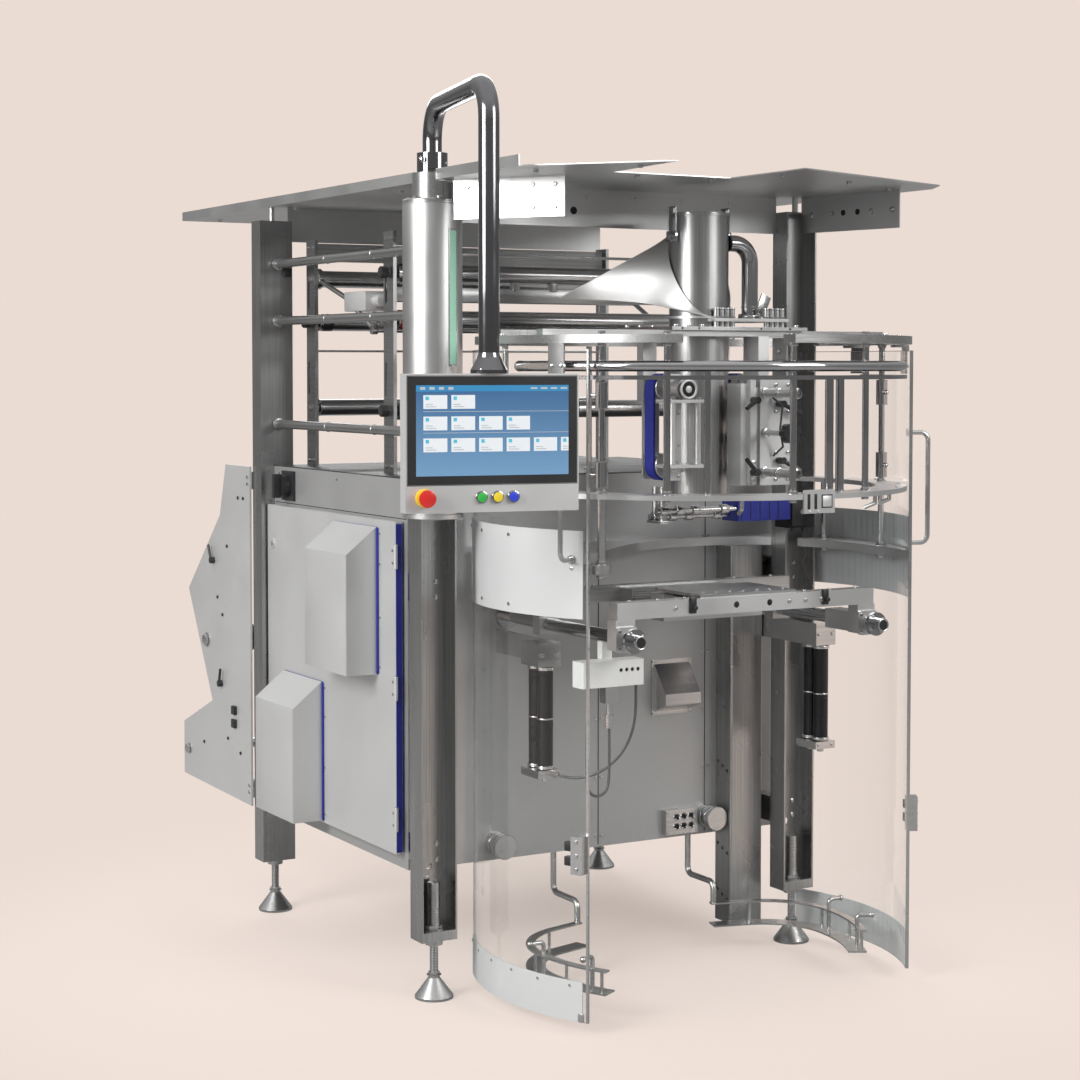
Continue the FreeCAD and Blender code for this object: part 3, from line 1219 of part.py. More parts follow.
def fitting_nodes():
    """The hooded housing, the socket block and the round stubs on the front wall."""
    y = CABINET_FRONT
    out = y - HOUSE_OUT
    slope_z = HOUSE_Z1 - 80
    house = prism([(HOUSE_X0, y, HOUSE_Z0), (HOUSE_X0, out, HOUSE_Z0 + 25),
                   (HOUSE_X0, out, slope_z), (HOUSE_X0, y, HOUSE_Z1)],
                  (HOUSE_X1 - HOUSE_X0, 0, 0))
    block = box(BLOCK_X0, y - BLOCK_OUT, BLOCK_Z0, BLOCK_X1, y, BLOCK_Z1)
    for i in range(3):
        for j in range(2):
            x = BLOCK_X0 + 34 + i * 24
            z = BLOCK_Z0 + 22 + j * 26
            block = block.cut(rod((x, y - BLOCK_OUT - 1, z), (x, y - BLOCK_OUT + 10, z), SOCKET_R))
    stubs = [rod((x, y, z), (x, y - STUB_OUT, z), STUB_R)
             for x, z in ((BOX_X0 - STUB_R - 2, BLOCK_Z0 + STUB_R + 6),
                          (STUB_LEFT_X, BLOCK_Z0 + STUB_R))]
    base = box(HOUSE_X0 - HOUSE_BASE, y - HOUSE_BASE_T, HOUSE_Z0 - HOUSE_BASE,
               HOUSE_X1 + HOUSE_BASE, y, HOUSE_Z1 + HOUSE_BASE)
    return {"cabinet_fittings": group([fused([house, base]), block] + stubs)}


def cooler_nodes():
    """The blue box under the cage, carried from the cabinet's front."""
    blue = box(COOLER_X0, COOLER_Y, COOLER_Z0, COOLER_X1, COOLER_Y + COOLER_D, COOLER_Z1)
    black = box(COOLER_X1, COOLER_Y + 6, COOLER_Z0 - 24, COOLER_X1 + COOLER_END,
                COOLER_Y + COOLER_D - 6, COOLER_Z1 - 4)
    arm = box(COOLER_X1 + 6, COOLER_Y + COOLER_D - 8, COOLER_Z0, COOLER_X1 + 40,
              CABINET_FRONT, COOLER_Z0 + 30)
    return {"cooler_box": blue, "cooler_motor": fused([black, arm])}


# Roof


def roof_nodes():
    """Two roof sheets with a bay between them over the forming tube, and their supports."""
    left = [(ROOF_LEFT, ROOF_BACK, ROOF_Z), (ROOF_LEFT, -480, ROOF_Z), (234, -760, ROOF_Z),
            (253, -450, ROOF_Z), (ROOF_MIDDLE, -440, ROOF_Z), (ROOF_MIDDLE, ROOF_BACK, ROOF_Z)]
    right = [(ROOF_MIDDLE + 1, ROOF_BACK, ROOF_Z), (ROOF_MIDDLE + 1, -440, ROOF_Z),
             (ROOF_MIDDLE + 1, -742, ROOF_Z), (ROOF_RIGHT - 50, -520, ROOF_Z),
             (ROOF_RIGHT, -430, ROOF_Z), (ROOF_RIGHT, ROOF_BACK, ROOF_Z)]
    hub = rod((0, 0, ROOF_Z - 50), (0, 0, ROOF_Z + 50), ROOF_NOTCH_R)
    fold = box(ROOF_LEFT, -480, ROOF_Z, ROOF_LEFT + ROOF_T, ROOF_BACK, ROOF_Z + ROOF_FASCIA)
    sheet = fused([prism(left, (0, 0, ROOF_T)), fold]).cut(hub)
    other = prism(right, (0, 0, ROOF_T))
    return {"roof_left": sheet, "roof_right": other}


def plate_between(x0, y0, x1, y1, z0, z1, t):
    """An upright plate between two points of the plan."""
    length = math.hypot(x1 - x0, y1 - y0)
    nx = -(y1 - y0) / length * t / 2
    ny = (x1 - x0) / length * t / 2
    return prism([(x0 + nx, y0 + ny, z0), (x1 + nx, y1 + ny, z0), (x1 - nx, y1 - ny, z0),
                  (x0 - nx, y0 - ny, z0)], (0, 0, z1 - z0))


def valance_nodes():
    """The upright support plates under the roof sheets."""
    right_x = SPAN_X - POST_W / 2
    plates = [
        plate_between(24.6, -71.2, 195, -324, VALANCE_LOW, ROOF_Z, VALANCE_T),
        plate_between(SPAN_X, -POST_D / 2, 1183, -368, VALANCE_LOW, ROOF_Z, VALANCE_T),
        plate_between(COLUMN_R - 2.4, 20, right_x, 20, VALANCE_LOW, ROOF_Z, VALANCE_T),
        plate_between(POST_W / 2, SPAN_Y, SPAN_X, SPAN_Y, VALANCE_LOW, ROOF_Z, VALANCE_T),
    ]
    pegs = [rod((x, y, POST_TOP), (x, y, ROOF_Z), ROOF_STUD_R)
            for x, y in ((SPAN_X, 0), (0, SPAN_Y))]
    return {"roof_valances": group(plates + pegs)}


# Film path between the posts


def film_nodes():
    """Side rails, slotted plates, rollers and beams that lead the film to the shoulder."""
    y1 = SPAN_Y - POST_D / 2
    rails = [rod((0, COLUMN_R - 2, z), (0, y1, z), FILM_RAIL_R) for z in FILM_RAIL_ZS]
    rails = [r.cut(rod((0, 0, COLUMN_BASE_Z), (0, 0, COLUMN_TOP), COLUMN_R)) for r in rails]
    left_x = BAR_PLATE_INSET
    right_x = SPAN_X - BAR_PLATE_INSET
    plates = []
    rollers = []
    for y in (BAR_PLATE_Y, REAR_PLATE_Y):
        for x in (left_x, right_x):
            plate = box(x - BAR_PLATE_T / 2, y - BAR_PLATE_W / 2, CABINET_TOP,
                        x + BAR_PLATE_T / 2, y + BAR_PLATE_W / 2, BAR_PLATE_TOP)
            slots = [box(x - BAR_PLATE_T, y + 8, z + 40, x + BAR_PLATE_T, y + 8 + SLOT_W, z + 130)
                     for z in ROLLER_ZS[:2]]
            plates.append(plate.cut(slots))
        for z in ROLLER_ZS:
            half = BAR_PLATE_T / 2
            pin = rod((left_x + half, y, z), (right_x - half, y, z), ROLLER_PIN_R)
            roll = rod((left_x + half + ROLLER_GAP, y, z), (right_x - half - ROLLER_GAP, y, z),
                       ROLLER_R)
            rollers.append(fused([pin, roll]))
    return {
        "film_frame": group(rails + plates),
        "film_rollers": group(rollers),
    }


# Reel carrier at the back


def reel_plate_outline(x):
    """The outline of a side plate that carries the film reel behind the cabinet."""
    return [(x, 1070, 1306), (x, 1260, 1306), (x, 1310, 1150), (x, 1578, 907), (x, 1380, 578),
            (x, 1628, 480), (x, 1628, 316), (x, 1070, 306)]


def reel_nodes():
    """Two side plates behind the cabinet, tied by bars, with the reel shaft between them."""
    width = SPAN_X - 2 * REEL_PLATE_X
    left_x = REEL_PLATE_X
    right_x = SPAN_X - REEL_PLATE_X - REEL_PLATE_T
    plates = [prism(reel_plate_outline(x), (REEL_PLATE_T, 0, 0)) for x in (left_x, right_x)]
    bars = []
    for y, z, r in ((REEL_SHAFT_Y, REEL_SHAFT_Z, REEL_SHAFT_R), (1580, 400, REEL_BAR_R)):
        bars.append(rod((left_x + REEL_PLATE_T, y, z), (right_x, y, z), r))
    back = SPAN_Y + POST_D / 2
    for z in REEL_BEAM_ZS:
        bars.append(box(left_x + REEL_PLATE_T, back, z, right_x, back + REEL_BEAM_D,
                        z + REEL_BEAM_H))
    return {"reel_side_plates": group(plates), "reel_shaft_and_bars": group(bars)}


def all_nodes():
    """Every node by name."""
    nodes = {}
    nodes.update(frame_nodes())
    nodes.update(column_nodes())
    nodes.update(arm_nodes())
    nodes.update(panel_nodes())
    nodes.update(cabinet_nodes())
    nodes.update(side_door_nodes())
    nodes.update(switch_nodes())
    nodes.update(guard_door(-1))
    nodes.update(guard_door(1))
    nodes.update(cage_nodes())
    nodes.update({"floor_guides": group([floor_guide(-1), floor_guide(1)])})
    nodes.update(box_column_nodes())
    nodes.update(forming_nodes())
    nodes.update({"forming_shoulder": forming_shoulder()})
    nodes.update({"film_drives": group([drive_unit(-1), drive_unit(1)])})
    nodes.update({"drive_belts": group([drive_belt(-1), drive_belt(1)])})
    nodes.update(sealer_nodes())
    nodes.update(jaw_front())
    nodes.update(jaw_rear())
    nodes.update(jaw_guide_nodes())
    nodes.update(lift_nodes())
    nodes.update(cable_box_nodes())
    nodes.update(cable_nodes())
    nodes.update(fitting_nodes())
    nodes.update(cooler_nodes())
    nodes.update(roof_nodes())
    nodes.update(valance_nodes())
    nodes.update(film_nodes())
    nodes.update(reel_nodes())
    return nodes


os.makedirs("parts", exist_ok=True)
for name, shape in all_nodes().items():
    shape.exportStep(f"parts/{name}.step")
    print(name, len(shape.Solids), "solids", round(shape.Volume / 1e6, 2), "litres",
          "valid" if shape.isValid() else "NOT VALID")
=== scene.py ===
import logging
import math
from dataclasses import dataclass, field
from enum import Enum
from typing import Iterable, Sequence

import bmesh
import bpy
from mathutils import Matrix, Vector


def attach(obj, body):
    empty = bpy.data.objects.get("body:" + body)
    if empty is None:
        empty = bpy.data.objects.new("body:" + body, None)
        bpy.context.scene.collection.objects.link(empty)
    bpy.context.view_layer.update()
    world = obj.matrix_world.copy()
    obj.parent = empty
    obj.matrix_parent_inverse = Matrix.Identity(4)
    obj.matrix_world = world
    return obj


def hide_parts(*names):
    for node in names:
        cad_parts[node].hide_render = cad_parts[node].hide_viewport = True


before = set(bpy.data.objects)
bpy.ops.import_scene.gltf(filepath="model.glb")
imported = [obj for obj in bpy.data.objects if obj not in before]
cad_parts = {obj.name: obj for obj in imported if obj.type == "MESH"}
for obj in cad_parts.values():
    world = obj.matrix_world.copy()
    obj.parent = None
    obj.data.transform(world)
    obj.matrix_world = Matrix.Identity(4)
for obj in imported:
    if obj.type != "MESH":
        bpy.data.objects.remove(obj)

LOG = logging.getLogger("packing_machine")
Colour = tuple[float, float, float]
Point = tuple[float, float, float]


class Grain(Enum):
    """Which way the brush marks of a metal run, as noise scales along X, Y and Z."""

    UPRIGHT = (260.0, 260.0, 3.0)
    ACROSS = (3.0, 260.0, 260.0)
    DEEP = (260.0, 3.0, 260.0)
    BLASTED = (900.0, 900.0, 900.0)
    CAST = (160.0, 160.0, 160.0)


@dataclass(frozen=True)
class Finish:
    """The values of one opaque finish.

    Args:
        colour: linear base colour.
        rough: middle roughness.
        metal: 1 for bare metal, 0 for paint, plastic and rubber.
        grain: direction and size of the fine marks.
        bump: depth of the fine marks in metres.
        spread: how far the marks change the colour, from 0 to 1.
        coat: weight of a clear coat.
    """

    colour: Colour
    rough: float
    metal: float = 1.0
    grain: Grain = Grain.BLASTED
    bump: float = 0.00002
    spread: float = 0.10
    coat: float = 0.0


FINISHES: dict[str, Finish] = {
    "satin_upright": Finish((0.38, 0.38, 0.38), 0.30, grain=Grain.UPRIGHT, spread=0.16),
    "satin_across": Finish((0.46, 0.46, 0.46), 0.30, grain=Grain.ACROSS, spread=0.14),
    "satin_deep": Finish((0.38, 0.38, 0.38), 0.32, grain=Grain.DEEP, spread=0.14),
    "blasted_sheet": Finish((0.62, 0.62, 0.62), 0.40, spread=0.08),
    "column_sheet": Finish((0.60, 0.60, 0.60), 0.36, grain=Grain.UPRIGHT, spread=0.06),
    # Base colour darker than bare polished steel: partly the steel's own grey, partly painted dark reflection.
    "polished_with_painted_dark_reflection": Finish((0.42, 0.42, 0.43), 0.09, grain=Grain.UPRIGHT, bump=0.000004, spread=0.04),
    # Chrome base colour darkened to a deep grey: painted dark reflection on the panel arm and its collars.
    "chrome_with_painted_dark_reflection": Finish((0.20, 0.20, 0.21), 0.12, grain=Grain.UPRIGHT, bump=0.000004, spread=0.04),
    "turned_steel": Finish((0.54, 0.54, 0.54), 0.22, grain=Grain.ACROSS, bump=0.00001),
    "door_sheet": Finish((0.60, 0.60, 0.60), 0.42, metal=0.55, spread=0.04),
    "wall_sheet": Finish((0.42, 0.42, 0.42), 0.42, metal=0.6, spread=0.08),
    "skirt_sheet": Finish((0.62, 0.63, 0.63), 0.4, metal=0.2, spread=0.03),
    "black_cover": Finish((0.018, 0.018, 0.020), 0.38, metal=0.0, grain=Grain.CAST, bump=0.00004),
    "black_anodised": Finish((0.022, 0.022, 0.025), 0.30, metal=0.6, grain=Grain.UPRIGHT),
    # Near-black: the dark of the wall seams and connector inserts, and painted shade filling holes, slits and
    # bores.
    "near_black_and_painted_hole_shade": Finish((0.008, 0.008, 0.008), 0.7, metal=0.0, spread=0.02),
    "blue_rubber": Finish((0.012, 0.018, 0.22), 0.55, metal=0.0, grain=Grain.CAST, bump=0.00003),
    "blue_paint": Finish((0.012, 0.022, 0.26), 0.35, metal=0.0, coat=0.3, spread=0.04),
    "mint_lens": Finish((0.42, 0.80, 0.60), 0.35, metal=0.0, coat=0.4, spread=0.03),
    "grey_sheath": Finish((0.10, 0.10, 0.105), 0.5, metal=0.0, grain=Grain.CAST),
    "white_box": Finish((0.74, 0.74, 0.72), 0.38, metal=0.0, spread=0.03),
    "red_rubber": Finish((0.30, 0.012, 0.014), 0.5, metal=0.0, grain=Grain.CAST),
    "red_button": Finish((0.62, 0.02, 0.015), 0.28, metal=0.0, coat=0.5, spread=0.03),
    "yellow_ring": Finish((0.80, 0.56, 0.02), 0.35, metal=0.0, spread=0.03),
    "green_button": Finish((0.03, 0.42, 0.06), 0.25, metal=0.0, coat=0.5, spread=0.03),
    "yellow_button": Finish((0.80, 0.60, 0.03), 0.25, metal=0.0, coat=0.5, spread=0.03),
    "blue_button": Finish((0.02, 0.05, 0.60), 0.25, metal=0.0, coat=0.5, spread=0.03),
    "white_tile": Finish((0.80, 0.84, 0.88), 0.3, metal=0.0, spread=0.02),
    "cyan_tile": Finish((0.10, 0.52, 0.72), 0.3, metal=0.0, spread=0.02),
    "blue_tile": Finish((0.04, 0.26, 0.52), 0.3, metal=0.0, spread=0.02),
    "grey_tile": Finish((0.50, 0.54, 0.58), 0.3, metal=0.0, spread=0.02),
    "brass_fitting": Finish((0.62, 0.44, 0.20), 0.3, grain=Grain.CAST),
}


def fine_marks_group() -> bpy.types.NodeTree:
    """Builds the shader group for brush and blast marks.

    Returns:
        A group that turns marks per metre along each axis into a mask from 0 to 1,
        a slow mask for handled patches, and a height for bump.
    """
    group = bpy.data.node_groups.new("FineMarks", "ShaderNodeTree")
    group.interface.new_socket("Marks", in_out="INPUT", socket_type="NodeSocketVector")
    for name in ("Fine", "Patches", "Height"):
        group.interface.new_socket(name, in_out="OUTPUT", socket_type="NodeSocketFloat")
    nodes, links = group.nodes, group.links
    inner = nodes.new("NodeGroupInput")
    outer = nodes.new("NodeGroupOutput")
    place = nodes.new("ShaderNodeTexCoord")
    scale = nodes.new("ShaderNodeVectorMath")
    scale.operation = "MULTIPLY"
    fine = nodes.new("ShaderNodeTexNoise")
    fine.inputs["Scale"].default_value = 1.0
    fine.inputs["Detail"].default_value = 3.0
    slow = nodes.new("ShaderNodeTexNoise")
    slow.inputs["Scale"].default_value = 5.5
    slow.inputs["Detail"].default_value = 2.0
    span = nodes.new("ShaderNodeMapRange")
    span.inputs["From Min"].default_value = 0.3
    span.inputs["From Max"].default_value = 0.7
    drift = nodes.new("ShaderNodeMapRange")
    drift.inputs["From Min"].default_value = 0.35
    drift.inputs["From Max"].default_value = 0.65
    links.new(place.outputs["Object"], scale.inputs[0])
    links.new(inner.outputs["Marks"], scale.inputs[1])
    links.new(scale.outputs[0], fine.inputs["Vector"])
    links.new(place.outputs["Object"], slow.inputs["Vector"])
    links.new(fine.outputs["Fac"], span.inputs["Value"])
    links.new(slow.outputs["Fac"], drift.inputs["Value"])
    links.new(span.outputs[0], outer.inputs["Fine"])
    links.new(drift.outputs[0], outer.inputs["Patches"])
    links.new(fine.outputs["Fac"], outer.inputs["Height"])
    return group


@dataclass
class Palette:
    """Makes each finish once and hands it out by name."""

    marks: bpy.types.NodeTree = field(default_factory=fine_marks_group)
    made: dict[str, bpy.types.Material] = field(default_factory=dict)

    def __getitem__(self, name: str) -> bpy.types.Material:
        """Returns the named material, made at first use."""
        if name not in self.made:
            special = {"clear_sheet": self.clear_sheet, "frosted_band": self.frosted_band,
                       "screen_field": self.screen_field}
            self.made[name] = special[name]() if name in special else self.opaque(name, FINISHES[name])
        return self.made[name]

    @staticmethod
    def shell(name: str) -> tuple[bpy.types.Material, bpy.types.Node]:
        """Returns a new node material and its Principled shader."""
        material = bpy.data.materials.new(name)
        material.use_nodes = True
        return material, material.node_tree.nodes["Principled BSDF"]

    def opaque(self, name: str, finish: Finish) -> bpy.types.Material:
        """Makes a metal, paint, plastic or rubber finish.

        Args:
            name: the material's name.
            finish: its values.

        Returns:
            The material.
        """
        material, shader = self.shell(name)
        nodes, links = material.node_tree.nodes, material.node_tree.links
        shader.inputs["Metallic"].default_value = finish.metal
        shader.inputs["Coat Weight"].default_value = finish.coat
        marks = nodes.new("ShaderNodeGroup")
        marks.node_tree = self.marks
        marks.inputs["Marks"].default_value = finish.grain.value
        tone = nodes.new("ShaderNodeMix")
        tone.data_type = "RGBA"
        low, high = 1.0 - finish.spread, 1.0 + finish.spread
        tone.inputs["A"].default_value = (*(c * low for c in finish.colour), 1.0)
        tone.inputs["B"].default_value = (*(min(1.0, c * high) for c in finish.colour), 1.0)
        patch = nodes.new("ShaderNodeMapRange")
        patch.inputs["To Min"].default_value = max(0.03, finish.rough - 0.05)
        patch.inputs["To Max"].default_value = finish.rough + 0.06
        bump = nodes.new("ShaderNodeBump")
        bump.inputs["Distance"].default_value = finish.bump
        links.new(marks.outputs["Fine"], tone.inputs["Factor"])
        links.new(tone.outputs["Result"], shader.inputs["Base Color"])
        links.new(marks.outputs["Patches"], patch.inputs["Value"])
        links.new(patch.outputs[0], shader.inputs["Roughness"])
        links.new(marks.outputs["Height"], bump.inputs["Height"])
        links.new(bump.outputs["Normal"], shader.inputs["Normal"])
        return material

    def see_through(self, name: str, colour: Colour, rough: float, shade: Colour) -> bpy.types.Material:
        """Makes a clear plastic that lets light through to what is behind it.

        Args:
            name: the material's name.
            colour: tint of the sheet.
            rough: roughness of the sheet.
            shade: colour of the light that passes, for shadows and bounced light.

        Returns:
            The material.
        """
        material, shader = self.shell(name)
        nodes, links = material.node_tree.nodes, material.node_tree.links
        shader.inputs["Base Color"].default_value = (*colour, 1.0)
        shader.inputs["Roughness"].default_value = rough
        shader.inputs["Transmission Weight"].default_value = 1.0
        shader.inputs["IOR"].default_value = 1.25
        ray = nodes.new("ShaderNodeLightPath")
        either = nodes.new("ShaderNodeMath")
        either.operation = "MAXIMUM"
        clear = nodes.new("ShaderNodeBsdfTransparent")
        clear.inputs["Color"].default_value = (*shade, 1.0)
        mix = nodes.new("ShaderNodeMixShader")
        links.new(ray.outputs["Is Shadow Ray"], either.inputs[0])
        links.new(ray.outputs["Is Diffuse Ray"], either.inputs[1])
        links.new(either.outputs[0], mix.inputs["Fac"])
        links.new(shader.outputs[0], mix.inputs[1])
        links.new(clear.outputs[0], mix.inputs[2])
        links.new(mix.outputs[0], nodes["Material Output"].inputs["Surface"])
        return material

    def clear_sheet(self) -> bpy.types.Material:
        """Makes the guard doors' clear sheet."""
        return self.see_through("clear_sheet", (0.97, 0.98, 0.98), 0.01, (0.93, 0.94, 0.94))

    def frosted_band(self) -> bpy.types.Material:
        """Makes the milky film bonded to the guard doors."""
        return self.see_through("frosted_band", (0.86, 0.88, 0.89), 0.35, (0.75, 0.76, 0.77))

    def screen_field(self) -> bpy.types.Material:
        """Makes the screen's lit blue field, paler towards its foot."""
        material, shader = self.shell("screen_field")
        nodes, links = material.node_tree.nodes, material.node_tree.links
        place = nodes.new("ShaderNodeTexCoord")
        split = nodes.new("ShaderNodeSeparateXYZ")
        span = nodes.new("ShaderNodeMapRange")
        span.inputs["From Min"].default_value = 1.33
        span.inputs["From Max"].default_value = 1.56
        tone = nodes.new("ShaderNodeMix")
        tone.data_type = "RGBA"
        tone.inputs["A"].default_value = (0.14, 0.27, 0.42, 1.0)
        tone.inputs["B"].default_value = (0.035, 0.10, 0.22, 1.0)
        links.new(place.outputs["Object"], split.inputs[0])
        links.new(split.outputs["Z"], span.inputs["Value"])
        links.new(span.outputs[0], tone.inputs["Factor"])
        links.new(tone.outputs["Result"], shader.inputs["Base Color"])
        links.new(tone.outputs["Result"], shader.inputs["Emission Color"])
        shader.inputs["Emission Strength"].default_value = 0.35
        shader.inputs["Roughness"].default_value = 0.25
        return material


@dataclass
class Piece:
    """One new mesh piece in millimetres, shaped with bmesh operators, then handed to the frame."""

    name: str
    mesh: bmesh.types.BMesh = field(default_factory=bmesh.new)

    def box(self, low: Point, high: Point, turn: Matrix | None = None, edge: float = 0.0) -> "Piece":
        """Adds a block, with rounded edges where edge isn't 0.

        Args:
            low: lowest corner.
            high: highest corner.
            turn: transform applied after the block is in place.
            edge: radius of its edges.

        Returns:
            This piece.
        """
        size = Vector(high) - Vector(low)
        middle = (Vector(high) + Vector(low)) / 2
        place = Matrix.Translation(middle) @ Matrix.Diagonal((*size, 1.0))
        made = bmesh.ops.create_cube(self.mesh, size=1.0, matrix=(turn or Matrix()) @ place)
        if edge > 0.0:
            edges = list({e for v in made["verts"] for e in v.link_edges})
            bmesh.ops.bevel(self.mesh, geom=edges, offset=edge, offset_type="OFFSET", segments=2,
                            profile=0.5, affect="EDGES", material=-1)
        return self

    def rod(self, start: Point, end: Point, radius: float, sides: int = 20,
            end_radius: float | None = None, edge: float = 0.0) -> "Piece":
        """Adds a closed rod or cone from start to end.

        Args:
            start: middle of the first end.
            end: middle of the other end.
            radius: radius at the start.
            sides: number of sides.
            end_radius: radius at the end, if it differs.
            edge: bevel round both ends.

        Returns:
            This piece.
        """
        along = Vector(end) - Vector(start)
        place = Matrix.Translation((Vector(start) + Vector(end)) / 2)
        place = place @ along.to_track_quat("Z", "Y").to_matrix().to_4x4()
        top = radius if end_radius is None else end_radius
        made = bmesh.ops.create_cone(self.mesh, cap_ends=True, segments=sides, radius1=radius,
                                     radius2=top, depth=along.length, matrix=place)
        if edge > 0.0:
            ends = [f for f in {f for v in made["verts"] for f in v.link_faces} if len(f.verts) == sides]
            rim = list({e for f in ends for e in f.edges})
            bmesh.ops.bevel(self.mesh, geom=rim, offset=edge, offset_type="OFFSET", segments=2,
                            profile=0.5, affect="EDGES", material=-1)
        return self

    def ball(self, centre: Point, radius: float, squash: float = 1.0, sides: int = 16) -> "Piece":
        """Adds a ball, flattened along Z by squash."""
        place = Matrix.Translation(centre) @ Matrix.Diagonal((1.0, 1.0, squash, 1.0))
        bmesh.ops.create_uvsphere(self.mesh, u_segments=sides, v_segments=sides // 2, radius=radius,
                                  matrix=place)
        return self

    def hoop(self, centre: Point, axis: Point, radius: float, tube: float, sides: int = 32) -> "Piece":
        """Adds a closed ring of round section, spun about its axis.

        Args:
            centre: middle of the ring.
            axis: direction that the ring turns about.
            radius: radius to the middle of the section.
            tube: radius of the section.
            sides: steps round the ring.

        Returns:
            This piece.
        """
        line = Vector(axis).normalized()
        across = line.orthogonal().normalized()
        frame_at = Matrix((across, line, across.cross(line))).transposed().to_4x4()
        place = Matrix.Translation(Vector(centre) + across * radius) @ frame_at
        made = bmesh.ops.create_circle(self.mesh, segments=10, radius=tube, matrix=place)
        loop = list({e for v in made["verts"] for e in v.link_edges})
        bmesh.ops.spin(self.mesh, geom=made["verts"] + loop, cent=centre, axis=line,
                       angle=math.tau, steps=sides, use_merge=True)
        return self

    def sector(self, radii: tuple[float, float], low: float, high: float, degrees: tuple[float, float],
               centre: tuple[float, float] = (655.0, -185.0)) -> "Piece":
        """Adds a slab of a ring about an upright axis, spun from its section.

        Args:
            radii: inner and outer radius.
            low: height of its underside.
            high: height of its top.
            degrees: first and last angle.
            centre: place of the axis.

        Returns:
            This piece.
        """
        first = math.radians(degrees[0])
        out = Vector((math.cos(first), math.sin(first), 0.0))
        middle = Vector((*centre, (low + high) / 2)) + out * (radii[0] + radii[1]) / 2
        axes = Matrix((out * (radii[1] - radii[0]), Vector((0, 0, high - low)),
                       out.cross(Vector((0, 0, 1))))).transposed().to_4x4()
        made = bmesh.ops.create_grid(self.mesh, x_segments=1, y_segments=1, size=0.5,
                                     matrix=Matrix.Translation(middle) @ axes)
        verts = made["verts"]
        geometry = list({e for v in verts for e in v.link_edges} | {f for v in verts for f in v.link_faces})
        bmesh.ops.spin(self.mesh, geom=verts + geometry, cent=(*centre, 0.0), axis=(0, 0, 1),
                       angle=math.radians(degrees[1] - degrees[0]),
                       steps=max(2, int(abs(degrees[1] - degrees[0]) / 3)))
        return self

    def bar(self, points: Sequence[Point], radius: float, sides: int = 14) -> "Piece":
        """Adds a round bar through points, with balls at its corners."""
        for start, end in zip(points, points[1:]):
            self.rod(start, end, radius, sides=sides)
        for corner in points[1:-1]:
            self.ball(corner, radius, sides=sides)
        return self

    def thread(self, start: Point, end: Point, radius: float, pitch: float) -> "Piece":
        """Adds the crests of a screw thread from start to end."""
        line = Vector(end) - Vector(start)
        count = max(1, int(line.length / pitch))
        step = line / count
        for i in range(count):
            low = Vector(start) + step * (i + 0.1)
            crest = Vector(start) + step * (i + 0.5)
            self.rod(tuple(low), tuple(crest), radius - pitch * 0.3, sides=20, end_radius=radius)
        return self

    def screw(self, centre: Point, axis: Point, radius: float, height: float) -> "Piece":
        """Adds a socket cap screw: a round head with a six-sided hole in its face."""
        line = Vector(axis).normalized()
        top = Vector(centre) + line * height
        self.rod(centre, tuple(top), radius, sides=18, edge=radius * 0.12)
        self.rod(tuple(top - line * height * 0.1), tuple(top + line * height * 0.02), radius * 0.45, sides=6)
        return self

    def nut(self, centre: Point, axis: Point, radius: float, height: float) -> "Piece":
        """Adds a six-sided nut or bolt head on a thin washer."""
        line = Vector(axis).normalized()
        base = Vector(centre)
        self.rod(tuple(base), tuple(base + line * height * 0.18), radius * 1.25, sides=20)
        self.rod(tuple(base + line * height * 0.18), tuple(base + line * height), radius, sides=6,
                 edge=radius * 0.08)
        return self

    def done(self, material: bpy.types.Material, body: str, smooth: float = 35.0,
             replaces: Sequence[str] = ()) -> bpy.types.Object:
        """Turns the shape into an object that rides a body.

        Args:
            material: its finish.
            body: the CAD body that it rides on.
            smooth: largest angle between faces that shade smooth, in degrees.
            replaces: CAD nodes that it stands for.

        Returns:
            The object.
        """
        bmesh.ops.scale(self.mesh, vec=(0.001, 0.001, 0.001), verts=self.mesh.verts)
        bmesh.ops.recalc_face_normals(self.mesh, faces=self.mesh.faces)
        data = bpy.data.meshes.new(self.name)
        self.mesh.to_mesh(data)
        self.mesh.free()
        data.shade_smooth()
        data.set_sharp_from_angle(angle=math.radians(smooth))
        data.materials.append(material)
        piece = bpy.data.objects.new(self.name, data)
        bpy.context.scene.collection.objects.link(piece)
        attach(piece, body)
        if replaces:
            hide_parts(*replaces)
        return piece


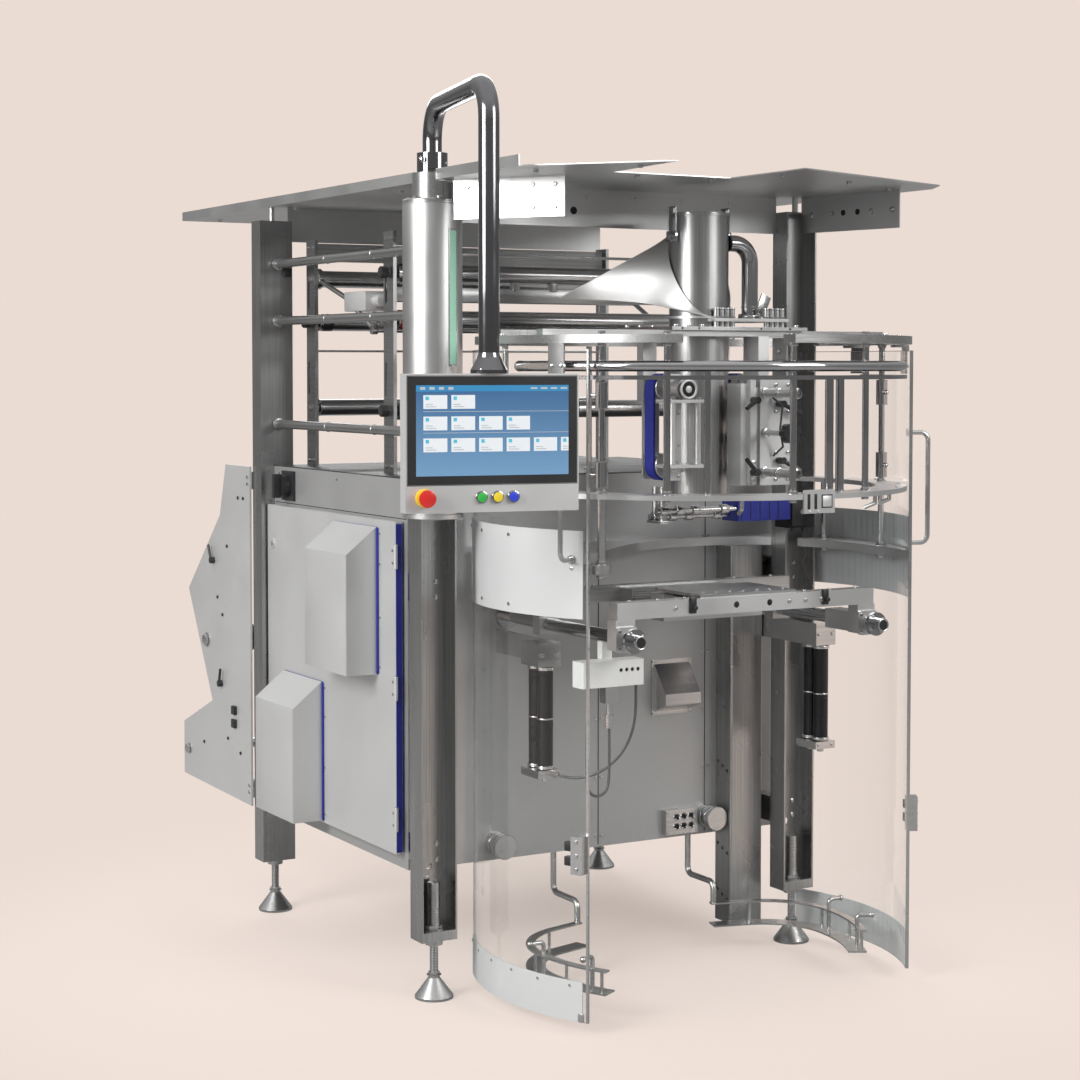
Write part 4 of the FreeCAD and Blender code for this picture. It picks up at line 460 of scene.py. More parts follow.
@dataclass
class Studio:
    """Pale floor, soft lights and the photograph's camera."""

    eye: Point = (-2.469, -4.891, 1.6)
    heading: tuple[float, float] = (0.4939, 0.8695)
    tilt_deg: float = 2.598
    lens_mm: float = 72.73
    shift: float = -0.0694
    backdrop: Colour = (0.831, 0.716, 0.651)
    light: Colour = (1.0, 0.995, 0.985)

    def camera(self) -> None:
        """Places the camera where the photograph was taken."""
        data = bpy.data.cameras.new("photo_camera")
        data.lens = self.lens_mm
        data.sensor_width = 36.0
        data.shift_y = self.shift
        eye = bpy.data.objects.new("photo_camera", data)
        eye.location = self.eye
        flat = math.cos(math.radians(self.tilt_deg))
        look = Vector((self.heading[0] * flat, self.heading[1] * flat, -math.sin(math.radians(self.tilt_deg))))
        eye.rotation_mode = "QUATERNION"
        eye.rotation_quaternion = look.to_track_quat("-Z", "Y")
        bpy.context.scene.collection.objects.link(eye)
        bpy.context.scene.camera = eye

    def seen_rays(self, nodes: bpy.types.Nodes, links: bpy.types.NodeLinks) -> bpy.types.NodeSocket:
        """Adds nodes that give 1 for camera and transmission rays and returns their socket."""
        ray = nodes.new("ShaderNodeLightPath")
        first = nodes.new("ShaderNodeMath")
        first.operation = "MAXIMUM"
        links.new(ray.outputs["Is Camera Ray"], first.inputs[0])
        links.new(ray.outputs["Is Transmission Ray"], first.inputs[1])
        return first.outputs[0]

    def world(self) -> None:
        """Lights the object evenly and shows the pale backdrop."""
        world = bpy.data.worlds.new("studio_world")
        bpy.context.scene.world = world
        world.use_nodes = True
        nodes, links = world.node_tree.nodes, world.node_tree.links
        fill = nodes["Background"]
        fill.inputs["Color"].default_value = (*self.light, 1.0)
        place = nodes.new("ShaderNodeTexCoord")
        split = nodes.new("ShaderNodeSeparateXYZ")
        rise = nodes.new("ShaderNodeMapRange")
        rise.inputs["From Min"].default_value = -0.15
        rise.inputs["From Max"].default_value = 0.80
        rise.inputs["To Min"].default_value = 0.10
        rise.inputs["To Max"].default_value = 0.88
        links.new(place.outputs["Generated"], split.inputs[0])
        links.new(split.outputs["Z"], rise.inputs["Value"])
        links.new(rise.outputs[0], fill.inputs["Strength"])
        shown = nodes.new("ShaderNodeBackground")
        shown.inputs["Color"].default_value = (*self.backdrop, 1.0)
        mix = nodes.new("ShaderNodeMixShader")
        links.new(self.seen_rays(nodes, links), mix.inputs["Fac"])
        links.new(fill.outputs[0], mix.inputs[1])
        links.new(shown.outputs[0], mix.inputs[2])
        links.new(mix.outputs[0], nodes["World Output"].inputs["Surface"])

    def floor(self) -> None:
        """Adds the pale floor, which fades into the backdrop away from the machine."""
        mesh = bmesh.new()
        bmesh.ops.create_circle(mesh, cap_ends=True, segments=96, radius=40.0,
                                matrix=Matrix.Translation((0.6, 0.4, -0.0005)))
        data = bpy.data.meshes.new("studio_floor")
        mesh.to_mesh(data)
        mesh.free()
        material, shader = Palette.shell("studio_floor")
        nodes, links = material.node_tree.nodes, material.node_tree.links
        tint = nodes.new("ShaderNodeMix")
        tint.data_type = "RGBA"
        tint.inputs["A"].default_value = (0.36, 0.355, 0.35, 1.0)
        tint.inputs["B"].default_value = (0.80, 0.715, 0.67, 1.0)
        seen = self.seen_rays(nodes, links)
        links.new(seen, tint.inputs["Factor"])
        links.new(tint.outputs["Result"], shader.inputs["Base Color"])
        shader.inputs["Roughness"].default_value = 0.9
        shader.inputs["Specular IOR Level"].default_value = 0.1
        lit = nodes.new("ShaderNodeEmission")
        lit.inputs["Color"].default_value = (*self.backdrop, 1.0)
        place = nodes.new("ShaderNodeTexCoord")
        away = nodes.new("ShaderNodeVectorMath")
        away.operation = "DISTANCE"
        away.inputs[1].default_value = (0.6, 0.4, 0.0)
        span = nodes.new("ShaderNodeMapRange")
        span.interpolation_type = "SMOOTHSTEP"
        span.inputs["From Min"].default_value = 0.3
        span.inputs["From Max"].default_value = 2.2
        span.inputs["To Min"].default_value = 0.55
        both = nodes.new("ShaderNodeMath")
        both.operation = "MULTIPLY"
        mix = nodes.new("ShaderNodeMixShader")
        links.new(place.outputs["Object"], away.inputs[0])
        links.new(away.outputs["Value"], span.inputs["Value"])
        links.new(span.outputs[0], both.inputs[0])
        links.new(seen, both.inputs[1])
        links.new(both.outputs[0], mix.inputs["Fac"])
        links.new(shader.outputs[0], mix.inputs[1])
        links.new(lit.outputs[0], mix.inputs[2])
        links.new(mix.outputs[0], nodes["Material Output"].inputs["Surface"])
        data.materials.append(material)
        ground = bpy.data.objects.new("studio_floor", data)
        bpy.context.scene.collection.objects.link(ground)

    def lamp(self, name: str, at: Point, aim: Point, size: float, watts: float) -> None:
        """Adds one soft square lamp.

        Args:
            name: its name.
            at: where it stands.
            aim: the point that it faces.
            size: length of its sides.
            watts: its power.
        """
        data = bpy.data.lights.new(name, "AREA")
        data.size = size
        data.energy = watts
        data.color = self.light
        light = bpy.data.objects.new(name, data)
        light.location = at
        light.rotation_mode = "QUATERNION"
        light.rotation_quaternion = (Vector(aim) - Vector(at)).to_track_quat("-Z", "Y")
        bpy.context.scene.collection.objects.link(light)

    def build(self) -> None:
        """Makes the whole studio."""
        bpy.context.scene.view_settings.view_transform = "Standard"
        self.camera()
        self.world()
        self.floor()
        self.lamp("key_lamp", (-4.8, -0.9, 3.2), (0.2, 0.3, 1.0), 2.6, 300.0)
        self.lamp("fill_lamp", (2.6, -4.4, 3.4), (0.7, 0.0, 1.0), 2.2, 120.0)
        self.lamp("back_lamp", (2.0, 4.4, 4.2), (0.6, 0.6, 1.2), 2.6, 110.0)


def on_circle(radius: float, degrees: float, height: float,
              centre: tuple[float, float] = (655.0, -185.0)) -> Point:
    """Returns a point on a circle about the guard's axis, or about centre."""
    turn = math.radians(degrees)
    return (centre[0] + radius * math.cos(turn), centre[1] + radius * math.sin(turn), height)


def outward(degrees: float) -> Point:
    """Returns the level direction at degrees."""
    return (math.cos(math.radians(degrees)), math.sin(math.radians(degrees)), 0.0)


@dataclass
class Assembly:
    """A sub-assembly of detail pieces, all on the bodies that carry them.

    Args:
        palette: where the finishes come from.
        made: the pieces, in order.
    """

    palette: Palette
    made: list[bpy.types.Object] = field(default_factory=list)

    def keep(self, piece: Piece, finish: str, slot: str = "brushed_steel", body: str = "machine",
             smooth: float = 35.0) -> bpy.types.Object:
        """Finishes a piece, notes it and returns its object."""
        shown = piece.done(self.palette[finish], body, smooth)
        self.made.append(shown)
        return shown

    def build(self) -> None:
        """Makes the pieces of this sub-assembly."""
        raise NotImplementedError


class PanelDetails(Assembly):
    """The operator panel's lit screen, button caps and small fixings."""

    TURN = Matrix.Translation((-120.8, -523.2, 0.0)) @ Matrix.Rotation(math.radians(-10.0), 4, "Z")
    FRONT = -29.0
    BODY = "operator_panel"

    def at(self, x: float, y: float, z: float) -> Point:
        """Returns a point of the panel's own frame in the machine's frame."""
        return tuple(self.TURN @ Vector((x, y, z)))

    def flat(self, name: str, areas: Iterable[tuple[float, float, float, float]], depth: float,
             finish: str) -> None:
        """Adds thin raised areas (left, foot, right, top) of the screen."""
        piece = Piece(name)
        for left, foot, right, top in areas:
            piece.box((left, self.FRONT - depth, foot), (right, self.FRONT + 0.2, top), self.TURN)
        self.keep(piece, finish, "screen", self.BODY)

    def screen(self) -> None:
        """Adds the screen's field with plain bars, tiles and dots."""
        self.flat("screen_area", [(-181.5, 1353.0, 181.5, 1557.0)], 0.3, "screen_field")
        self.flat("screen_header", [(-181.5, 1543.0, 181.5, 1557.0)], 0.5, "blue_tile")
        lines = [(-164.5, 1497.5, 181.5, 1498.5), (-164.5, 1449.5, 181.5, 1450.5)]
        tiles, dots, texts = [], [], []
        for count, foot in ((2, 1504.0), (4, 1456.0), (6, 1407.0)):
            for i in range(count):
                left = -164.5 + i * 65.5
                right = min(181.5, left + 56.0)
                tiles.append((left, foot, right, foot + 31.0))
                dots.append((left + 5.0, foot + 20.0, left + 13.0, foot + 28.0))
                texts.append((left + 5.0, foot + 4.0, min(right, left + 30.0), foot + 6.0))
                texts.append((left + 5.0, foot + 9.0, min(right, left + 22.0), foot + 11.0))
        texts += [(-172.0 + i * 22, 1547.0, -160.0 + i * 22, 1553.0) for i in range(4)]
        texts += [(90.0 + i * 24, 1548.0, 106.0 + i * 24, 1552.0) for i in range(4)]
        self.flat("screen_lines", lines, 0.4, "grey_tile")
        self.flat("screen_tiles", tiles, 0.5, "white_tile")
        self.flat("screen_marks", texts, 0.7, "grey_tile")
        self.flat("screen_dots", dots, 0.7, "cyan_tile")

    def buttons(self) -> None:
        """Adds the coloured caps in their rings and the red stop head on its yellow ring."""
        rings = Piece("button_rings")
        outwards = tuple(self.TURN.to_3x3() @ Vector((0.0, -1.0, 0.0)))
        for i, finish in enumerate(("green_button", "yellow_button", "blue_button")):
            x = -28.5 + i * 38.0
            rings.hoop(self.at(x, self.FRONT - 4.6, 1304.0), outwards, 13.0, 1.6, sides=28)
            cap = Piece(finish)
            cap.rod(self.at(x, self.FRONT - 4.5, 1304.0), self.at(x, self.FRONT - 10.2, 1304.0), 11.4,
                    sides=28, edge=1.6)
            self.keep(cap, finish, "buttons", self.BODY)
        self.keep(rings, "polished_with_painted_dark_reflection", "polished", self.BODY)
        x = -162.5
        ring = Piece("stop_ring")
        ring.rod(self.at(x, self.FRONT, 1304.0), self.at(x, self.FRONT - 6.0, 1304.0), 21.0, sides=36,
                 edge=1.2)
        self.keep(ring, "yellow_ring", "buttons", self.BODY)
        head = Piece("stop_head")
        head.rod(self.at(x, self.FRONT - 12.0, 1304.0), self.at(x, self.FRONT - 28.0, 1304.0), 16.5,
                 sides=36, end_radius=20.6, edge=2.0)
        self.keep(head, "red_button", "buttons", self.BODY)

    def build(self) -> None:
        """Makes the screen, the buttons and the fixings."""
        self.screen()
        self.buttons()
        frame_edge = Piece("screen_surround")
        for low, high in (((-203.5, 1331.5), (203.5, 1333.5)), ((-203.5, 1576.5), (203.5, 1578.5)),
                          ((-203.5, 1333.5), (-201.5, 1576.5)), ((201.5, 1333.5), (203.5, 1576.5))):
            frame_edge.box((low[0], self.FRONT - 0.4, low[1]), (high[0], self.FRONT + 0.5, high[1]), self.TURN)
        self.keep(frame_edge, "turned_steel", "brushed_steel", self.BODY)
        rear = Piece("panel_rear_fixings")
        back = tuple(self.TURN.to_3x3() @ Vector((0.0, 1.0, 0.0)))
        for x in (-178.0, 178.0):
            for z in (1298.0, 1426.0, 1555.0):
                rear.screw(self.at(x, -self.FRONT - 0.5, z), back, 4.5, 3.0)
        self.keep(rear, "turned_steel", "brushed_steel", self.BODY)
        hubs = Piece("arm_screws")
        for degrees in (0, 90, 180, 270):
            side = outward(degrees + 35)
            hubs.screw((-120.8 + side[0] * 38, -523.2 + side[1] * 38, 1590.0), side, 4.0, 4.0)
            hubs.screw((side[0] * 37.5, side[1] * 37.5, 2104.0), side, 4.0, 4.0)
        hubs.nut((-44.0, -25.0, 2112.0), (0.5, -0.87, 0.0), 6.0, 6.0)
        self.keep(hubs, "turned_steel", "brushed_steel", "swing_arm")


class ColumnDetails(Assembly):
    """Joints, light frame and fixings of the round column."""

    def build(self) -> None:
        """Makes the seams, the strip's frame and the cap's bolts."""
        seams = Piece("column_seams")
        for height in (1231.0, 1260.0, 2003.0):
            seams.hoop((0.0, 0.0, height), (0.0, 0.0, 1.0), 75.2, 0.9, sides=64)
        self.keep(seams, "satin_across")
        rim = Piece("light_frame")
        for degrees in (275.6, 293.2):
            rim.sector((74.8, 77.2), 1600.0, 1940.0, (degrees, degrees + 1.2), (0.0, 0.0))
        for low in (1599.0, 1936.5):
            rim.sector((74.8, 77.2), low, low + 4.5, (275.6, 294.4), (0.0, 0.0))
        self.keep(rim, "turned_steel")
        bolts = Piece("column_bolts")
        for degrees in range(20, 380, 60):
            bolts.nut(on_circle(62.0, degrees, 2014.5, (0.0, 0.0)), (0.0, 0.0, 1.0), 6.0, 6.0)
        for degrees in (200, 250, 300):
            bolts.screw(on_circle(74.6, degrees, 1246.0, (0.0, 0.0)), outward(degrees), 4.5, 3.0)
        self.keep(bolts, "turned_steel")


class FrameDetails(Assembly):
    """Threads of the feet, post bolts and the fittings of the posts."""

    def build(self) -> None:
        """Makes threads, bolts and washers."""
        threads = Piece("foot_threads")
        for x, y in ((0, 0), (1115, 0), (0, 1036), (1115, 1036)):
            threads.thread((x, y, 60.0), (x, y, 136.0), 11.2, 4.0)
            threads.thread((x, y, 177.0), (x, y, 290.0), 16.4, 4.0)
        self.keep(threads, "turned_steel")
        nuts = Piece("foot_nuts")
        for x, y in ((0, 0), (1115, 0), (0, 1036), (1115, 1036)):
            nuts.nut((x, y, 174.0), (0.0, 0.0, 1.0), 21.0, 12.0)
            nuts.nut((x, y, 58.0), (0.0, 0.0, 1.0), 15.0, 9.0)
        self.keep(nuts, "turned_steel")
        bolts = Piece("post_bolts")
        for x in (0.0, 1115.0):
            for z in (345.0, 385.0, 1015.0, 1055.0):
                for dx in (-22.0, 22.0):
                    bolts.nut((x + dx, -27.0 + 54.0, z), (0.0, -1.0, 0.0), 6.0, 5.0)
        for z in (700.0, 1180.0, 1400.0, 1640.0, 1880.0):
            bolts.screw((1065.5, 0.0, z), (-1.0, 0.0, 0.0), 5.0, 3.5)
        self.keep(bolts, "turned_steel")


class CabinetDetails(Assembly):
    """The cabinet's dark top, seams, wall fittings and connectors."""

    def build(self) -> None:
        """Makes the cabinet's details."""
        top = Piece("cabinet_top_cover")
        top.box((-8.0, 127.0, 1309.0), (1163.0, 995.0, 1313.0), edge=1.2)
        self.keep(top, "black_cover", "black_plastic")
        seams = Piece("wall_seams")
        for x in (70.0, 560.0, 905.0):
            seams.box((x, 123.9, 306.0), (x + 2.0, 125.4, 1300.0))
        seams.box((-10.5, 130.0, 1206.0), (-9.8, 990.0, 1208.0))
        for y in (450.0, 800.0):
            seams.box((1164.6, y, 306.0), (1165.8, y + 2.0, 1300.0))
        seams.box((1164.6, 130.0, 1206.0), (1165.8, 1064.0, 1208.0))
        for x in (130.0, 1078.0):
            seams.box((x, 1068.1, 340.0), (x + 2.0, 1069.3, 1172.0))
        for z in (340.0, 1170.0):
            seams.box((130.0, 1068.1, z), (1080.0, 1069.3, z + 2.0))
        self.keep(seams, "near_black_and_painted_hole_shade", "grey_wall")
        screws = Piece("wall_screws")
        for x in (62.0, 78.0, 552.0, 570.0, 897.0, 915.0):
            for z in range(330, 1300, 160):
                screws.screw((x, 125.0, float(z)), (0.0, -1.0, 0.0), 4.0, 2.5)
        for x, z in ((730, 648), (860, 648), (730, 792), (860, 792), (770, 318), (863, 318), (770, 374),
                     (863, 374)):
            screws.screw((x + 4.0 if x == 730 else x - 4.0 if x == 860 else x, 121.5 if z > 600 else 100.8,
                          float(z)), (0.0, -1.0, 0.0), 3.2, 2.4)
        for y in (160.0, 560.0, 960.0):
            screws.screw((-10.0, y, 1290.0), (-1.0, 0.0, 0.0), 4.0, 2.5)
        for z in range(330, 1300, 160):
            for y in (442.0, 460.0, 792.0, 810.0):
                screws.screw((1165.0, y, float(z)), (1.0, 0.0, 0.0), 4.0, 2.5)
            for x in (145.0, 1065.0):
                screws.screw((x, 1068.5, 30.0 + z * 0.97), (0.0, 1.0, 0.0), 4.0, 2.5)
        for x in (300.0, 910.0):
            screws.screw((x, 1068.5, 1148.0), (0.0, 1.0, 0.0), 9.0, 2.0)
        self.keep(screws, "turned_steel")
        pins = Piece("connector_inserts")
        for i in range(3):
            for j in range(2):
                x, z = 799.0 + i * 24, 334.0 + j * 26
                pins.rod((x, 112.0, z), (x, 104.0, z), 6.2, sides=18)
        for i in range(4):
            x = 340.0 - i * 16
            pins.rod((x, -421.8, 866.0), (x, -425.0, 866.0), 4.4, sides=16)
        pins.box((836.0, 110.0, 1196.0), (1060.0, 112.0, 1198.0))
        self.keep(pins, "near_black_and_painted_hole_shade", "black_plastic")
        rings = Piece("connector_rings")
        for i in range(3):
            for j in range(2):
                rings.hoop((799.0 + i * 24, 100.8, 334.0 + j * 26), (0.0, 1.0, 0.0), 9.2, 1.1, sides=20)
        for x, z in ((910.0, 350.0), (244.0, 344.0)):
            for y in (66.0, 84.0, 104.0):
                rings.hoop((x, y, z), (0.0, 1.0, 0.0), 31.8, 1.2, sides=36)
        self.keep(rings, "polished_with_painted_dark_reflection", "polished")
        brackets = Piece("bracket_bolts")
        for x in (-4.0, 1108.0):
            for z in (348.0, 382.0, 1018.0, 1052.0):
                for y in (56.0, 100.0):
                    side = -1.0 if x < 0 else 1.0
                    brackets.nut((-10.0 if x < 0 else 1111.0, y, z), (side, 0.0, 0.0), 6.0, 5.0)
        self.keep(brackets, "turned_steel")


class SideDoorDetails(Assembly):
    """Screws, hood flanges and the lock of the cabinet's side door."""

    def build(self) -> None:
        """Makes the door's details."""
        rims = Piece("hood_flanges")
        for y, z in ((252.0, 795.0), (606.0, 345.0)):
            rims.box((-39.0, y + 263.0, z), (-36.5, y + 273.0, z + 386.0))
            rims.box((-39.0, y, z - 4.0), (-36.5, y + 268.0, z + 6.0))
            rims.box((-126.2, y + 3.0, z + 3.0), (-124.9, y + 265.0, z + 313.0), edge=0.5)
        self.keep(rims, "door_sheet", "white_panel", "cabinet_door")
        lips = Piece("seal_lips")
        for y, z in ((252.0, 795.0), (606.0, 345.0)):
            lips.box((-40.0, y - 8.0, z + 2.0), (-35.0, y, z + 384.0), edge=1.0)
        lips.box((-34.0, 142.8, 345.0), (-17.0, 144.4, 1195.0))
        self.keep(lips, "blue_rubber", "blue_seal", "cabinet_door")
        # The slits are near-black boxes: painted shade standing in for the dark inside the hoods' vent slits.
        slits = Piece("hood_slits")
        for y, z in ((252.0, 795.0), (606.0, 345.0)):
            for i in range(9):
                slits.box((-118.0, y + 22.0 + i * 26.0, z - 1.2), (-60.0, y + 30.0 + i * 26.0, z + 0.4))
        self.keep(slits, "near_black_and_painted_hole_shade", "black_plastic", "cabinet_door")
        screws = Piece("door_screws")
        for y, z in ((252.0, 795.0), (606.0, 345.0)):
            for dy in (0.0, 268.0):
                for dz in (20.0, 150.0, 290.0, 370.0):
                    screws.screw((-35.0, y - 16.0 + dy * 1.1, z + dz), (-1.0, 0.0, 0.0), 3.2, 2.0)
        screws.screw((-39.5, 955.0, 1090.0), (-1.0, 0.0, 0.0), 9.0, 2.0)
        for z in (400.0, 740.0, 1080.0):
            screws.ball((-35.5, 142.0, z + 61.0), 5.4, 0.6)
            for dz in (14.0, 46.0):
                screws.screw((-35.0, 160.0, z + dz), (-1.0, 0.0, 0.0), 4.0, 2.2)
        self.keep(screws, "turned_steel", "brushed_steel", "cabinet_door")


class GuardDoorDetails(Assembly):
    """Edges, screws and clamps of the two curved guard doors."""

    OUT = 565.5

    def angle(self, side: int, degrees: float) -> float:
        """Returns an angle of the right door, or its mirror on the left."""
        return degrees if side > 0 else 180.0 - degrees

    def door(self, side: int, word: str) -> None:
        """Makes the details of one door.

        Args:
            side: 1 for the right door, -1 for the left.
            word: its side in words.
        """
        body = f"{word}_guard_door"
        bolts = Piece(f"{word}_door_bolts")
        spots = [(-26.5, 1120.0), (-26.5, 1163.0), (-26.5, 1428.0), (28.0, 1020.0), (28.0, 1190.0),
                 (-5.0, 1190.0), (-5.0, 1020.0), (10.0, 1190.0), (10.0, 1020.0)]
        for degrees, z in spots:
            turn = self.angle(side, degrees)
            height = self.OUT + (0.0 if z == 1428.0 else 3.0)
            if z not in (1163.0, 1428.0):
                bolts.screw(on_circle(height, turn, z), outward(turn), 4.6, 3.0)
        for degrees in (-26.5,):
            turn = self.angle(side, degrees)
            bolts.rod(on_circle(self.OUT, turn, 1428.0), on_circle(self.OUT + 4.0, turn, 1428.0), 11.0)
            bolts.rod(on_circle(self.OUT + 3.0, turn, 1141.0), on_circle(self.OUT + 7.0, turn, 1141.0), 11.0)
        for degrees in (-24.6, -23.4, -20.6, 2.0, 6.0):
            turn = self.angle(side, degrees)
            bolts.screw(on_circle(self.OUT + 6.0, turn, 1600.0), outward(turn), 5.0, 3.5)
        for z in (404.0, 437.0, 470.0):
            turn = self.angle(side, -29.0)
            bolts.screw(on_circle(self.OUT + 24.0, turn, z), outward(turn), 5.0, 3.0)
        for degrees in range(-26, 26, 10):
            turn = self.angle(side, float(degrees))
            bolts.screw(on_circle(self.OUT + 3.0, turn, 118.0), outward(turn), 3.6, 2.0)
        self.keep(bolts, "turned_steel", "brushed_steel", body)
        rim = Piece(f"{word}_glass_rim")
        ends = sorted((self.angle(side, -30.6), self.angle(side, 30.4)))
        rim.sector((560.3, 565.7), 1638.6, 1640.2, tuple(ends))
        self.keep(rim, "skirt_sheet", "clear_sheet", body)
        grips = Piece(f"{word}_door_stops")
        for z in (420.0, 455.0):
            turn = self.angle(side, -26.0)
            grips.box((-9.0, -2.0, -11.0), (9.0, 14.0, 11.0),
                      Matrix.Translation(on_circle(self.OUT, turn, z))
                      @ Matrix.Rotation(math.radians(turn - 90.0), 4, "Z"), edge=1.5)
        self.keep(grips, "black_cover", "black_plastic", body)

    def build(self) -> None:
        """Makes both doors' details and the small tab at the left door's foot."""
        self.door(-1, "left")
        self.door(1, "right")
        tab = Piece("left_door_tab")
        turn = 180.0 + 29.4
        tab.box((-8.0, 0.0, -6.0), (8.0, 4.0, 14.0),
                Matrix.Translation(on_circle(self.OUT + 3.0, turn, 40.0))
                @ Matrix.Rotation(math.radians(turn - 90.0), 4, "Z"), edge=0.8)
        self.keep(tab, "turned_steel", "brushed_steel", "left_guard_door")


class CageDetails(Assembly):
    """Nuts, slots and knobs of the guard's rings, rails and shelf."""

    def build(self) -> None:
        """Makes the cage's details."""
        nuts = Piece("ring_nuts")
        for degrees in (212.0, 230.0, 264.0, 291.0, 342.0):
            nuts.nut(on_circle(517.0, degrees, 1675.0), (0.0, 0.0, 1.0), 9.0, 9.0)
            nuts.nut(on_circle(517.0, degrees, 1655.0), (0.0, 0.0, -1.0), 11.0, 8.0)
            nuts.nut(on_circle(517.0, degrees, 1297.0), (0.0, 0.0, 1.0), 11.0, 8.0)
            nuts.nut(on_circle(517.0, degrees, 1285.0), (0.0, 0.0, -1.0), 9.0, 9.0)
        for degrees in (12.0, 342.0, 212.0):
            nuts.nut(on_circle(517.0, degrees, 1128.0), (0.0, 0.0, 1.0), 12.0, 9.0)
            nuts.nut(on_circle(517.0, degrees, 1105.0), (0.0, 0.0, -1.0), 12.0, 10.0)
        for degrees in (50.0, 90.0, 130.0):
            nuts.nut(on_circle(517.0, degrees, 1310.0), (0.0, 0.0, 1.0), 14.0, 8.0)
        for degrees in range(-60, 200, 26):
            nuts.screw(on_circle(530.0, float(degrees), 1675.0), (0.0, 0.0, 1.0), 6.0, 5.0)
        for degrees in range(-90, 30, 20):
            nuts.screw(on_circle(535.0, float(degrees), 1297.0), (0.0, 0.0, 1.0), 4.5, 4.0)
        self.keep(nuts, "turned_steel")
        # The slots are near-black boxes: painted shade standing in for the dark inside the latch's slots and
        # round its window.
        slots = Piece("latch_slots")
        for x in (617.0, 637.0):
            slots.box((x, -736.6, 1262.0), (x + 8.0, -735.6, 1298.0), edge=0.3)
        slots.box((658.0, -736.6, 1264.0), (690.0, -735.6, 1296.0), edge=0.3)
        self.keep(slots, "near_black_and_painted_hole_shade", "black_plastic")
        window = Piece("latch_window")
        window.box((661.0, -737.6, 1267.0), (687.0, -736.2, 1293.0), edge=0.5)
        window.screw((625.0, -736.0, 1256.5), (0.0, -1.0, 0.0), 3.0, 2.0)
        window.screw((649.0, -736.0, 1256.5), (0.0, -1.0, 0.0), 3.0, 2.0)
        self.keep(window, "door_sheet")
        caps = Piece("rail_end_caps")
        for degrees in (185.0, 355.0):
            centre = on_circle(535.0, degrees, 1600.0)
            caps.ball(centre, 13.6)
        for degrees in (212.0, 342.0):
            for z in (1310.0, 1372.0, 1500.0, 1562.0):
                caps.hoop(on_circle(517.0, degrees, z), (0.0, 0.0, 1.0), 14.2, 1.6, sides=24)
            for z in (1341.0, 1531.0):
                turn = degrees - 90.0
                spot = on_circle(517.0, degrees, z)
                side = outward(turn)
                caps.rod(spot, (spot[0] + side[0] * 30, spot[1] + side[1] * 30, z), 4.0)
                caps.ball((spot[0] + side[0] * 32, spot[1] + side[1] * 32, z), 7.0)
        self.keep(caps, "polished_with_painted_dark_reflection", "polished")


class LinkDetails(Assembly):
    """Push rods, clamps and cushions under the cage, beside the blue box."""

    def build(self) -> None:
        """Makes the rods, their clamps and the dark blocks."""
        rods = Piece("jaw_push_rods")
        for y, z in ((-118.0, 1222.0), (-84.0, 1206.0)):
            rods.rod((590.0, y, z), (840.0, y, z), 8.0, sides=20)
            for x in (600.0, 650.0, 700.0, 790.0):
                rods.rod((x, y, z), (x + 22.0, y, z), 13.0, sides=24, edge=1.2)
        rods.rod((610.0, -118.0, 1285.0), (610.0, -118.0, 1190.0), 10.0, sides=20)
        rods.rod((610.0, -84.0, 1285.0), (610.0, -84.0, 1190.0), 10.0, sides=20)
        rods.box((592.0, -134.0, 1190.0), (628.0, -68.0, 1198.0), edge=1.5)
        for degrees in (250.0, 270.0, 300.0, 320.0):
            rods.bar([on_circle(505.0, degrees, 1285.0), on_circle(505.0, degrees, 1262.0),
                      on_circle(478.0, degrees, 1250.0)], 5.0)
        self.keep(rods, "turned_steel")
        dark = Piece("cooler_fittings")
        dark.box((1014.0, -134.0, 1170.0), (1050.0, -56.0, 1250.0), edge=3.0)
        for x in (850.0, 880.0, 910.0, 940.0, 970.0):
            dark.box((x, -131.0, 1192.0), (x + 2.0, -129.0, 1239.0))
        for x in (1024.0, 1062.0):
            dark.rod((x, -124.0, 1164.0), (x, -124.0, 1152.0), 9.0, sides=18, edge=1.0)
        self.keep(dark, "black_cover", "black_plastic")


